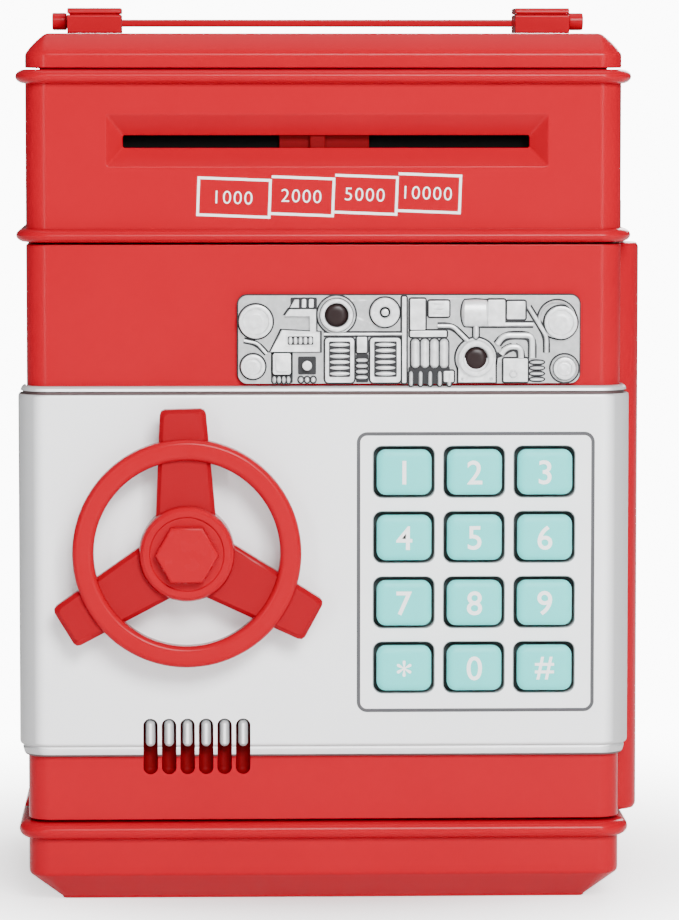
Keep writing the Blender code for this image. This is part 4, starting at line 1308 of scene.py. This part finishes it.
class Relief:
    """Collects raised shapes on the mechanism plate, most over a dark sheet of painted shade round its foot.
    Their x and z are measured from a corner at its lower left and their heights from its floor, in
    millimetres."""

    def __init__(self, corner_x, corner_z, floor):
        self.corner = Vector((corner_x, 0, corner_z))
        self.floor = floor
        self.pieces = []

    def from_corner(self, spot):
        """A spot on the door, measured from the corner."""
        return spot[0] - self.corner.x, spot[1] - self.corner.z

    def add_in_place(self, piece, material):
        self.pieces.append(paint(piece, material))

    def add(self, piece, material=None):
        piece.data.transform(Matrix.Translation(self.corner * MM))
        self.add_in_place(piece, material or relief_silver())

    def disc(self, x, z, radius, height, dish=0.0, count=40):
        top = self.floor - height
        profile = [(self.floor + 0.2, radius), (top + 0.25, radius), (top + 0.07, radius - 0.07),
                   (top, radius - 0.25)]
        if dish > 0:
            profile += [(top, radius - 0.7), (top + dish, radius - 0.95), (top + dish, radius * 0.45),
                        (top + dish * 0.3, radius * 0.35)]
        self.add(turned("disc", "Y", (x, z), profile, count=count))
        shade = [(self.floor + 0.1, radius + SHADE_RIM_WIDTH), (self.floor - SHADE_RIM_HEIGHT, radius + SHADE_RIM_WIDTH)]
        self.add(turned("disc_shade", "Y", (x, z), shade, count=count), painted_shade_grey())

    def ring(self, x, z, inner, outer, height):
        top = self.floor - height
        middle = (inner + outer) / 2
        profile = [(outer, self.floor + 0.2), (outer, top + 0.25), (outer - 0.2, top + 0.05), (middle, top),
                   (inner + 0.2, top + 0.05), (inner, top + 0.25), (inner, self.floor + 0.2)]
        self.add(ring_of("ring", (x, z), profile, count=48))
        shade = [(outer + SHADE_RIM_WIDTH, self.floor + 0.1), (outer + SHADE_RIM_WIDTH, self.floor - SHADE_RIM_HEIGHT),
                 (inner + 0.01, self.floor - SHADE_RIM_HEIGHT), (inner + 0.01, self.floor + 0.1)]
        self.add(ring_of("ring_shade", (x, z), shade, count=48), painted_shade_grey())

    def slab(self, points, height):
        middle = sum((Vector(point) for point in points), Vector((0, 0))) / len(points)
        inner = [tuple(middle + grow(Vector(point) - middle, -0.16)) for point in points]
        wide = [tuple(middle + grow(Vector(point) - middle, SHADE_RIM_WIDTH * 1.3)) for point in points]
        self.add(prism("slab_shade", wide, "Y", self.floor - SHADE_RIM_HEIGHT, self.floor + 0.1), painted_shade_grey())
        top = self.floor - height
        self.add(loft("slab", [lift(points, "Y", self.floor + 0.2), lift(points, "Y", top + 0.16),
                               lift(inner, "Y", top)]))

    def box(self, low_x, high_x, low_z, high_z, height, radius=0.25):
        top = self.floor - height
        rings = []
        for y, inset in ((self.floor + 0.2, 0.0), (top + 0.18, 0.0), (top + 0.05, 0.05), (top, 0.17)):
            rings.append(lift(rounded(low_x + inset, high_x - inset, low_z + inset, high_z - inset,
                                      max(radius - inset, 0.05), steps=3), "Y", y))
        self.add(loft("box", rings))
        wide = rounded(low_x - SHADE_RIM_WIDTH, high_x + SHADE_RIM_WIDTH, low_z - SHADE_RIM_WIDTH, high_z + SHADE_RIM_WIDTH,
                       radius + SHADE_RIM_WIDTH, steps=3)
        self.add(prism("box_shade", wide, "Y", self.floor - SHADE_RIM_HEIGHT, self.floor + 0.1), painted_shade_grey())

    def pipe(self, points, radius):
        """A half-sunk pipe through points, rounded at its bends, over a wider flat shade."""
        self.add(self.tube(points, radius))
        shade = self.tube(points, radius + SHADE_RIM_WIDTH * 1.1)
        for vertex in shade.data.vertices:
            vertex.co.y = self.floor * MM + (vertex.co.y - self.floor * MM) * 0.15
        self.add(shade, painted_shade_grey())

    def tube(self, points, radius):
        curve = bpy.data.curves.new("pipe", "CURVE")
        curve.dimensions = "3D"
        curve.bevel_depth = radius
        curve.bevel_resolution = 3
        curve.use_fill_caps = True
        curve.resolution_u = 4
        curve.render_resolution_u = 4
        spline = curve.splines.new("POLY")
        route = round_bends(points, radius * 2.2)
        spline.points.add(len(route) - 1)
        for spot, (x, z) in zip(spline.points, route):
            spot.co = (x, self.floor - 0.15, z, 1.0)
        mesh = curve_mesh("pipe", curve)
        mesh.transform(Matrix.Scale(MM, 4))
        shape = bmesh.new()
        shape.from_mesh(mesh)
        bmesh.ops.remove_doubles(shape, verts=shape.verts, dist=1e-6)
        bmesh.ops.recalc_face_normals(shape, faces=shape.faces)
        shape.to_mesh(mesh)
        shape.free()
        return add_object("pipe", mesh)

    def bars(self, count, first, step, radii, stretch, level=0.0):
        first = (first[0], self.floor - level - 0.1, first[1])
        self.add(bar_row("bars", count, first, step, radii, stretch, relief_silver()))
        if level == 0:
            wide = (radii[0] + SHADE_RIM_WIDTH * 0.8, 0.25, radii[2] + SHADE_RIM_WIDTH * 0.8)
            self.add(bar_row("bars_shade", count, first, step, wide, stretch, painted_shade_grey()), painted_shade_grey())

    def shade(self, low_x, high_x, low_z, high_z, level=0.0):
        """A flat dark sheet of painted shade at a level above the floor."""
        self.add(prism("shade", rounded(low_x, high_x, low_z, high_z, 0.3, steps=3), "Y",
                       self.floor - level - SHADE_RIM_HEIGHT, self.floor + 0.1), painted_shade_grey())


def grow(arm, amount):
    """An arm made longer or shorter by an amount."""
    return arm * max(1 + amount / max(arm.length, 0.3), 0.4)


def round_bends(points, radius):
    """A route whose inner corners are replaced by short arcs."""
    route = [points[0]]
    for before, corner, after in zip(points, points[1:], points[2:]):
        middle = Vector(corner)
        back = (Vector(before) - middle).normalized() * radius
        ahead = (Vector(after) - middle).normalized() * radius
        for step in range(5):
            share = step / 4
            spot = middle + back * (1 - share) ** 2 + ahead * share ** 2
            route.append(tuple(spot))
    route.append(points[-1])
    return route


class SAFEBANK_OT_mechanism(bpy.types.Operator):
    """Make the silver mechanism relief with its dials, louvres, tubes and pipes, and the two windows"""

    bl_idname = "safe_bank.make_mechanism"
    bl_label = "Mechanism Relief"

    def execute(self, context):
        low, high = box_mm("mechanism_plate")
        back = high.y
        floor = back - PLATE_THICKNESS
        plate = prism("plate", rounded(low.x, high.x, low.z, high.z, PLATE_ROUND), "Y", floor, back)
        windows = [front_spot(node) for node in LENSES]
        bores = [prism("bore", circle(spot, LENS_BORE, 40), "Y", floor - 3, back + 3) for spot in windows]
        carve(plate, *bores)
        relief = Relief(low.x, low.z - RELIEF_DROP, floor)
        relief.add_in_place(soften(plate, 0.15, 60), relief_silver())
        # a dark rim round the plate: painted shade in the gap between the plate and the door
        edge = rounded(low.x - 0.25, high.x + 0.25, low.z, high.z + 0.25, PLATE_ROUND + 0.2)
        rim = prism("plate_rim", edge, "Y", back - 0.45, back)
        inside = rounded(low.x + 0.3, high.x - 0.3, low.z + 0.3, high.z - 0.3, PLATE_ROUND - 0.2)
        relief.add_in_place(carve(rim, prism("rim_inside", inside, "Y", back - 2, back + 2)), painted_shade_grey())
        self.left_half(relief, relief.from_corner(windows[0]))
        self.right_half(relief, relief.from_corner(windows[1]))
        fit(join("mechanism_relief", relief.pieces), None, "door", "silver_panel", "mechanism_plate")
        dome = ((5.0, 2.4), (0.75, 2.4), (0.45, 2.2), (0.22, 1.7), (0.12, 1.0), (0.1, 0.3))
        for number, node in enumerate(LENSES, 1):
            front = box_mm(node)[0].y
            profile = [(front + run, radius) for run, radius in dome]
            lens = turned(f"window_{number}", "Y", front_spot(node), profile)
            fit(lens, dark_glass(), "door", "dark_lens", node)
        return {"FINISHED"}

    def left_half(self, relief, window):
        """Two discs, a bracket, a small box, the first window, a dial and a pair of louvres."""
        relief.disc(3.7, 14.2, 3.55, 1.3, 0.18)
        relief.disc(3.1, 4.7, 2.55, 1.3, 0.18)
        relief.pipe([(1.2, 10.2), (4.0, 9.6), (6.0, 7.4)], 0.3)
        relief.shade(11.0, 16.6, 16.9, 19.2, 0.05)
        relief.slab([(9.8, 15.4), (15.2, 15.4), (15.2, 11.8), (16.4, 11.8),
                     (16.4, 16.8), (10.8, 16.8)], 0.9)
        relief.slab([(10.9, 17.1), (12.8, 17.1), (12.8, 18.8), (11.9, 18.8)],
                    0.7)
        relief.box(13.4, 14.3, 17.1, 18.9, 0.7)
        relief.box(14.9, 15.9, 17.1, 18.9, 0.7)
        relief.slab([(6.8, 7.8), (17.2, 7.8), (17.2, 12.0), (9.2, 12.4)], 0.8)
        relief.box(10.0, 16.2, 8.9, 11.5, 1.0)
        relief.shade(10.4, 15.8, 9.3, 11.1, 1.0)
        relief.bars(5, (11.0, 10.2), (1.05, 0, 0), (0.42, 0.4, 0.7), (0, 0, 0.1), 1.0)
        relief.shade(6.9, 11.5, 1.2, 7.9)
        relief.box(7.3, 11.1, 3.0, 7.5, 0.75, 0.5)
        relief.box(7.9, 10.5, 3.6, 6.9, 1.2, 0.6)
        relief.bars(4, (7.6, 1.9), (1.0, 0, 0), (0.42, 0.9, 0.75), (0, 0, 0.0))
        relief.shade(12.6, 16.4, 3.0, 6.8, 0.1)
        relief.disc(14.5, 4.9, 1.0, 1.35, count=28)
        relief.bars(3, (13.2, 1.9), (1.3, 0, 0), (0.5, 0.8, 0.6), (0, 0, 0.0))
        relief.ring(*window, 2.55, 3.45, 1.75)
        relief.ring(*window, 3.6, 4.0, 0.5)
        relief.ring(30.9, 16.1, 1.2, 3.05, 1.3)
        relief.disc(30.9, 16.1, 0.75, 1.5, count=24)
        relief.pipe([(18.0, 11.5), (35.0, 11.5)], 0.28)
        for left, right in ((18.3, 24.4), (27.8, 34.2)):
            relief.box(left, right, 1.3, 10.7, 0.75, 0.7)
            relief.shade(left + 0.8, right - 0.8, 2.5, 10.0, 0.75)
            relief.bars(6, ((left + right) / 2, 3.2), (0, 0, 1.22), (2.0, 0.55, 0.42), (0.1, 0, 0), 0.75)
        relief.box(25.0, 27.1, 7.6, 10.9, 0.6)
        relief.shade(24.8, 27.4, 1.3, 7.3, 0.05)
        relief.bars(4, (26.05, 2.4), (0, 0, 1.2), (0.75, 0.9, 0.4), (0.5, 0, 0))

    def right_half(self, relief, window):
        """A post with blocks, tubes and a barrel, the second window, bent pipes, a coil and two discs."""
        relief.box(34.5, 35.4, 1.2, 19.4, 0.9)
        relief.box(36.2, 39.4, 12.4, 18.9, 0.9)
        relief.box(40.1, 44.4, 15.2, 18.5, 1.1)
        relief.bars(3, (42.2, 15.9), (0, 0, 1.0), (1.6, 1.35, 0.28), (0.2, 0, 0))
        relief.box(36.2, 43.9, 10.9, 12.2, 0.7)
        relief.bars(4, (37.3, 7.4), (2.02, 0, 0), (0.92, 1.3, 0.9), (0, 0, 2.2))
        relief.shade(35.9, 44.6, 1.0, 4.6, 0.35)
        relief.bars(5, (36.4, 2.1), (2.02, 0, 0), (0.42, 1.0, 0.7), (0, 0, 0.9))
        relief.box(43.3, 45.4, 1.4, 3.7, 1.0)
        relief.pipe([(42.0, 13.2), (45.2, 13.2), (48.4, 10.0)], 0.42)
        relief.bars(1, (50.0, 15.9), (1, 0, 0), (1.0, 1.7, 2.9), (2.0, 0, 0))
        relief.box(52.6, 56.2, 13.2, 18.7, 1.2)
        relief.box(56.6, 60.5, 14.6, 18.4, 0.5)
        relief.bars(1, (50.1, 11.9), (1, 0, 0), (0.6, 0.9, 0.9), (0, 0, 0.6))
        relief.slab([(46.4, 1.3), (54.2, 1.3), (54.2, 6.5), (46.4, 6.5)], 0.8)
        relief.disc(*window, 4.3, 0.2)
        relief.ring(*window, 2.6, 3.75, 1.75)
        relief.bars(2, (47.3, 2.1), (6.0, 0, 0), (0.5, 1.2, 0.5), (0, 0, 0))
        relief.pipe([(51.0, 13.5), (62.2, 13.5)], 0.42)
        relief.pipe([(54.6, 9.3), (55.8, 11.2), (62.0, 11.2), (62.0, 6.4)],
                    0.6)
        relief.pipe([(55.4, 7.2), (56.6, 8.8), (59.6, 8.8), (59.6, 6.4)], 0.6)
        relief.pipe([(61.2, 17.2), (65.0, 11.0), (65.0, 7.5)], 0.42)
        relief.box(55.9, 61.0, 1.4, 6.3, 1.0)
        relief.ring(58.0, 3.1, 0.45, 0.95, 1.3)
        relief.bars(4, (63.0, 1.9), (0, 0, 1.2), (1.2, 0.9, 0.33), (0.3, 0, 0))
        relief.ring(67.2, 14.6, 3.5, 3.95, 0.6)
        relief.disc(68.0, 13.9, 3.45, 1.35, 0.18)
        relief.disc(68.8, 4.2, 2.35, 1.35, 0.18)
        relief.ring(68.8, 4.2, 2.45, 2.9, 0.5)


# ---------------------------------------------------------------- wheel, labels and hatch


RIM_RADII = (19.5, 24.0)
RIM_Y = (-64.4, -59.8)
HUB_FRONT_Y = -65.0
SPOKE_Y = (-62.9, -59.2)
SPOKE_TIP = 30.2
SPOKE_HALF_WIDTHS = (6.5, 4.85)
SPOKE_CORNER = 1.1
SPOKE_LEAN = 1.5  # degrees by which the top spoke leans to the left


class SAFEBANK_OT_handwheel(bpy.types.Operator):
    """Make the three-spoked handwheel with its stepped hub and the hexagonal cap"""

    bl_idname = "safe_bank.make_handwheel"
    bl_label = "Handwheel"

    def execute(self, context):
        centre = front_spot("wheel_shaft")
        profile = rounded(*RIM_RADII, *RIM_Y, 1.25, 0.7, steps=5)
        wheel = ring_of("wheel", centre, profile, count=120)
        spokes = [self.spoke(centre, 90 + 120 * number + SPOKE_LEAN) for number in range(3)]
        hub = turned("hub", "Y", centre, [(-57.0, 9.6), (-57.3, 10.0), (-63.9, 10.0), (-64.6, 9.7),
                                          (HUB_FRONT_Y, 9.1), (HUB_FRONT_Y, 7.9), (HUB_FRONT_Y + 0.28, 7.6),
                                          (HUB_FRONT_Y + 0.28, 4.2)], count=96)
        weld(wheel, *spokes)
        weld(wheel, hub)
        carve(wheel, prism("hub_bore", circle(centre, 3.3), "Y", -62.6, -50))
        fit(soften(wheel, 0.12, 50, 2), wheel_red(), "handwheel", "red_wheel", "handwheel")

        low, high = box_mm("hub_cap")
        radius = (high.x - low.x) / 2
        profile = [(high.y, radius), (low.y + 0.55, radius), (low.y + 0.2, 0.975 * radius),
                   (low.y, 0.92 * radius)]
        cap = turned("hub_hex", "Y", centre, profile, count=6)
        fit(cap, wheel_red(), "handwheel", "red_wheel", "hub_cap")
        return {"FINISHED"}

    def spoke(self, centre, degrees):
        """A tapered arm with bevelled long edges, from the hub past the rim."""
        bevel = sizes().spoke_bevel / MM
        angle = math.radians(degrees)
        along = Vector((math.cos(angle), math.sin(angle)))
        across = Vector((-along.y, along.x))
        nip = SPOKE_CORNER
        rings = []
        for y, inset in ((SPOKE_Y[1], 0.25), (SPOKE_Y[1] - 0.3, 0.0), (SPOKE_Y[0] + bevel * 0.8, 0.0),
                         (SPOKE_Y[0], bevel)):
            tip = SPOKE_TIP - inset
            wide = SPOKE_HALF_WIDTHS[0] - inset
            narrow = SPOKE_HALF_WIDTHS[1] - inset
            corners = ((4.0, -wide), (tip - nip, -narrow), (tip - nip * 0.3, -narrow + nip * 0.3),
                       (tip, -narrow + nip), (tip, narrow - nip), (tip - nip * 0.3, narrow - nip * 0.3),
                       (tip - nip, narrow), (4.0, wide))
            outline = [tuple(Vector(centre) + along * a + across * b) for a, b in corners]
            rings.append(lift(outline, "Y", y))
        return loft("spoke", rings)


LABEL_SIZE = (15.6, 8.3)
LABEL_LINE = 0.55
LABEL_FIRST = (-19.0, 150.05)
LABEL_STEP = (13.35, 0.3)
LABEL_TURN = -2.2  # degrees


class SAFEBANK_OT_labels(bpy.types.Operator):
    """Make the four overlapping note outlines printed under the slot"""

    bl_idname = "safe_bank.make_labels"
    bl_label = "Note Labels"

    def execute(self, context):
        front = box_mm("head_shell")[0].y + sizes().rib_proud / MM
        ink = sizes().ink_thickness / MM
        right, top = LABEL_SIZE[0] / 2, LABEL_SIZE[1] / 2
        line = LABEL_LINE
        angle = math.radians(LABEL_TURN)
        pieces = []
        for number, text in enumerate(("1000", "2000", "5000", "10000")):
            centre = Vector(LABEL_FIRST) + number * Vector(LABEL_STEP)
            left = -right if number == 0 else right - LABEL_STEP[0]
            strips = [(left, right, top - line, top), (left, right, -top, line - top),
                      (right - line, right, line - top, top - line)]
            if number == 0:
                strips.append((-right, line - right, line - top, top - line))
            for low_a, high_a, low_b, high_b in strips:
                corners = [(low_a, low_b), (high_a, low_b), (high_a, high_b), (low_a, high_b)]
                outline = []
                for a, b in corners:
                    outline.append((centre.x + a * math.cos(angle) - b * math.sin(angle),
                                    centre.y + a * math.sin(angle) + b * math.cos(angle)))
                pieces.append(prism("strip", outline, "Y", front - ink, front + ink))
            shift = 0.8 if number else 0.0
            pieces.append(lettering("number", text, sizes().label_height / MM, (centre.x + shift, centre.y),
                                    front, LABEL_TURN, weight=-0.03, spacing=1.14))
        fit(join("note_labels", pieces), print_white(), "cabinet", "red_shell")
        return {"FINISHED"}


FACING_BACK = (math.radians(-90), 0, 0)


class SAFEBANK_OT_battery_hatch(bpy.types.Operator):
    """Make the battery cover with its grip ridges and screw"""

    bl_idname = "safe_bank.make_battery_hatch"
    bl_label = "Battery Cover"

    def execute(self, context):
        low, high = box_mm("battery_cover")
        screw_low, screw_high = box_mm("battery_cover_screw")
        spot = front_spot("battery_cover_screw")
        cover = prism("cover", rounded(low.x, high.x, low.z, high.z, HATCH_CORNER), "Y", low.y, high.y)
        soften(cover, 0.3)
        well = [(high.y - 5, 1.6), (high.y - 1.35, 1.6), (high.y - 1.3, 3.0), (high.y + 2, 3.2)]
        carve(cover, turned("screw_well", "Y", spot, well))
        middle = (low.x + high.x) / 2
        ridges = bar_row("ridges", 7, (middle, high.y - 0.1, low.z + 9), (0, 0, 1.8), (0.6, 0.55, 0.5),
                         (11, 0, 0), case_red())
        pointer = [(middle - 3, low.z + 26), (middle + 3, low.z + 26), (middle, low.z + 31)]
        arrow = prism("arrow", pointer, "Y", high.y - 0.2, high.y + 0.35)
        fit(join("battery_hatch", [cover, ridges, soften(arrow, 0.15)]), case_red(), "cabinet", "red_shell",
            "battery_cover")
        head = screws("head", [(spot[0], screw_high.y - 0.5, spot[1])], 2.6, 1.0, FACING_BACK)
        profile = [(screw_low.y, 0.5), (screw_low.y + 1.5, 1.2), (screw_high.y - 0.9, 1.2)]
        shank = turned("shank", "Y", spot, profile, count=20)
        fit(join("battery_hatch_screw", [head, shank]), plated_steel(), "cabinet", "steel",
            "battery_cover_screw")
        return {"FINISHED"}


SLOT_FINISHES = {"white_plastic": white_plastic, "steel": plated_steel, "brass": turned_brass,
                 "black_plastic": black_plastic, "black_rubber": black_rubber, "circuit_board": board_green,
                 "cell_sleeve": cell_blue, "red_shell": case_red, "red_wheel": wheel_red,
                 "silver_panel": panel_silver, "mint_keys": key_mint, "dark_lens": dark_glass}
NODE_FINISHES = {"head_floor": black_plastic, "note_chute": black_plastic, "roller_cheek_left": black_plastic,
                 "roller_cheek_right": black_plastic, "coin_chute": black_plastic,
                 "keypad_membrane": keypad_mat_and_gap_shade, "keypad_board": board_green}


class SAFEBANK_OT_inner_details(bpy.types.Operator):
    """Finish the pieces inside: screws on the door's cover, and a finish for every other piece"""

    bl_idname = "safe_bank.make_inner_details"
    bl_label = "Inner Details"

    def execute(self, context):
        low, high = box_mm("door_inner_cover")
        inset = 6.0
        corners = [(x, high.y + 0.35, z) for x in (low.x + inset, high.x - inset)
                   for z in (low.z + inset, high.z - inset)]
        heads = screws("cover_screws", corners, 2.6, 1.0, FACING_BACK)
        fit(heads, plated_steel(), "door", "steel")
        for part in frame["record"]["subparts"]:
            name = part["node"]
            make_finish = NODE_FINISHES.get(name) or SLOT_FINISHES[part["material_slot"]]
            paint(frame["nodes"][name], make_finish())
        return {"FINISHED"}


# ---------------------------------------------------------------- the stage


BACKDROP_POWER = 11.0
WORLD_POWER = 0.18
LIGHT_TARGET = (0.0, 0.0, 0.09)
FLOOR_REACH = 3000.0
FLOOR_FADE = (0.02, 0.23)  # the distances between which the floor turns into the backdrop, in metres
CAMERA_LENS = 119.74
CAMERA_X = -0.026
CAMERA_Z = 0.1758
CAMERA_TILT = 4.8  # degrees down
CAMERA_TURN = -1.73  # degrees, so the right side comes into sight


def add_area_light(name, place, size, power):
    light = bpy.data.lights.new(name, "AREA")
    light.shape = "RECTANGLE"
    light.size, light.size_y = size
    light.energy = power
    lamp = add_object(name, light)
    lamp.location = place
    lamp.rotation_euler = (Vector(LIGHT_TARGET) - Vector(place)).to_track_quat("-Z", "Y").to_euler()


def fade_to_backdrop(tree):
    """A pale floor that takes shadows near the bank and meets the backdrop's white further out."""
    shader = tree.nodes["Principled BSDF"]
    shader.inputs["Base Color"].default_value = (0.93, 0.93, 0.93, 1.0)
    shader.inputs["Roughness"].default_value = 0.7
    shader.inputs["Specular IOR Level"].default_value = 0.2
    place = tree.nodes.new("ShaderNodeTexCoord")
    length = tree.nodes.new("ShaderNodeVectorMath")
    length.operation = "LENGTH"
    tree.links.new(place.outputs["Object"], length.inputs[0])
    away = tree.nodes.new("ShaderNodeMapRange")
    away.interpolation_type = "SMOOTHSTEP"
    away.inputs["From Min"].default_value, away.inputs["From Max"].default_value = FLOOR_FADE
    tree.links.new(length.outputs["Value"], away.inputs["Value"])
    rays = tree.nodes.new("ShaderNodeLightPath")
    share = math_node(tree, "MULTIPLY", away.outputs["Result"], rays.outputs["Is Camera Ray"])
    glow = tree.nodes.new("ShaderNodeEmission")
    glow.inputs["Strength"].default_value = BACKDROP_POWER
    both = tree.nodes.new("ShaderNodeMixShader")
    tree.links.new(share, both.inputs["Fac"])
    tree.links.new(shader.outputs["BSDF"], both.inputs[1])
    tree.links.new(glow.outputs["Emission"], both.inputs[2])
    tree.links.new(both.outputs["Shader"], tree.nodes["Material Output"].inputs["Surface"])


def studio_world():
    """A white backdrop for the camera; dimmer for everything it lights or is mirrored in."""
    world = bpy.data.worlds.new("studio")
    world.use_nodes = True
    tree = world.node_tree
    rays = tree.nodes.new("ShaderNodeLightPath")
    power = tree.nodes.new("ShaderNodeMapRange")
    power.inputs["To Min"].default_value = WORLD_POWER
    power.inputs["To Max"].default_value = BACKDROP_POWER
    tree.links.new(rays.outputs["Is Camera Ray"], power.inputs["Value"])
    backdrop = tree.nodes["Background"]
    backdrop.inputs["Color"].default_value = (1.0, 1.0, 1.0, 1.0)
    tree.links.new(power.outputs["Result"], backdrop.inputs["Strength"])
    return world


class SAFEBANK_OT_stage(bpy.types.Operator):
    """Set the pale floor, the soft studio light and the camera"""

    bl_idname = "safe_bank.make_stage"
    bl_label = "Stage"

    def execute(self, context):
        outline = rounded(-FLOOR_REACH, FLOOR_REACH, -FLOOR_REACH, FLOOR_REACH, 400)
        floor = prism("studio_floor", outline, "Z", -6.0, -0.05)
        surface = bpy.data.materials.new("pale floor")
        surface.use_nodes = True
        fade_to_backdrop(surface.node_tree)
        paint(floor, surface)

        context.scene.world = studio_world()
        add_area_light("front softbox", (0.32, -1.35, 0.90), (0.7, 0.5), 46.0)
        add_area_light("left strip", (-0.52, -1.10, 0.15), (0.045, 1.0), 5.0)
        add_area_light("right strip", (0.47, -1.10, 0.15), (0.045, 1.0), 5.0)
        add_area_light("top softbox", (0.0, 0.1, 1.3), (0.9, 0.9), 7.0)
        add_area_light("back fill", (0.3, 1.2, 0.7), (0.8, 0.6), 26.0)

        distance = sizes().camera_distance
        camera = add_object("view", bpy.data.cameras.new("view"))
        camera.data.sensor_fit = "VERTICAL"
        camera.data.sensor_height = 24.0
        camera.data.lens = CAMERA_LENS
        camera.data.clip_end = 20.0
        wall_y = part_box("head_shell")[0].y + sizes().rib_proud
        camera.location = (CAMERA_X, wall_y - distance, CAMERA_Z)
        camera.rotation_euler = (math.radians(90 - CAMERA_TILT), 0.0, math.radians(CAMERA_TURN))
        context.scene.camera = camera
        return {"FINISHED"}


STEPS = (SAFEBANK_OT_stage, SAFEBANK_OT_foot, SAFEBANK_OT_case, SAFEBANK_OT_head, SAFEBANK_OT_lid,
         SAFEBANK_OT_handle, SAFEBANK_OT_door, SAFEBANK_OT_panel, SAFEBANK_OT_keys, SAFEBANK_OT_mechanism,
         SAFEBANK_OT_handwheel, SAFEBANK_OT_labels, SAFEBANK_OT_battery_hatch, SAFEBANK_OT_inner_details)


class SAFEBANK_PT_panel(bpy.types.Panel):
    """Lists the bank's sizes, colours and pieces"""

    bl_idname = "SAFEBANK_PT_panel"
    bl_label = "Toy Safe Coin Bank"
    bl_space_type = "VIEW_3D"
    bl_region_type = "UI"
    bl_category = "Safe Bank"

    def draw(self, context):
        for group in (context.scene.safe_bank_sizes, context.scene.safe_bank_colours):
            box = self.layout.box()
            for name in group.bl_rna.properties.keys():
                if name not in ("rna_type", "name"):
                    box.prop(group, name)
        for step in STEPS:
            self.layout.operator(step.bl_idname)


CLASSES = (SafeBankSizes, SafeBankColours, *STEPS, SAFEBANK_PT_panel)


def register():
    for item in CLASSES:
        bpy.utils.register_class(item)
    bpy.types.Scene.safe_bank_sizes = PointerProperty(type=SafeBankSizes)
    bpy.types.Scene.safe_bank_colours = PointerProperty(type=SafeBankColours)


def unregister():
    del bpy.types.Scene.safe_bank_colours
    del bpy.types.Scene.safe_bank_sizes
    for item in reversed(CLASSES):
        bpy.utils.unregister_class(item)


def main():
    register()
    bpy.ops.safe_bank.make_stage()
    bpy.ops.safe_bank.make_foot()
    bpy.ops.safe_bank.make_case()
    bpy.ops.safe_bank.make_head()
    bpy.ops.safe_bank.make_lid()
    bpy.ops.safe_bank.make_handle()
    bpy.ops.safe_bank.make_door()
    bpy.ops.safe_bank.make_panel()
    bpy.ops.safe_bank.make_keys()
    bpy.ops.safe_bank.make_mechanism()
    bpy.ops.safe_bank.make_handwheel()
    bpy.ops.safe_bank.make_labels()
    bpy.ops.safe_bank.make_battery_hatch()
    bpy.ops.safe_bank.make_inner_details()


if __name__ == "__main__":
    main()
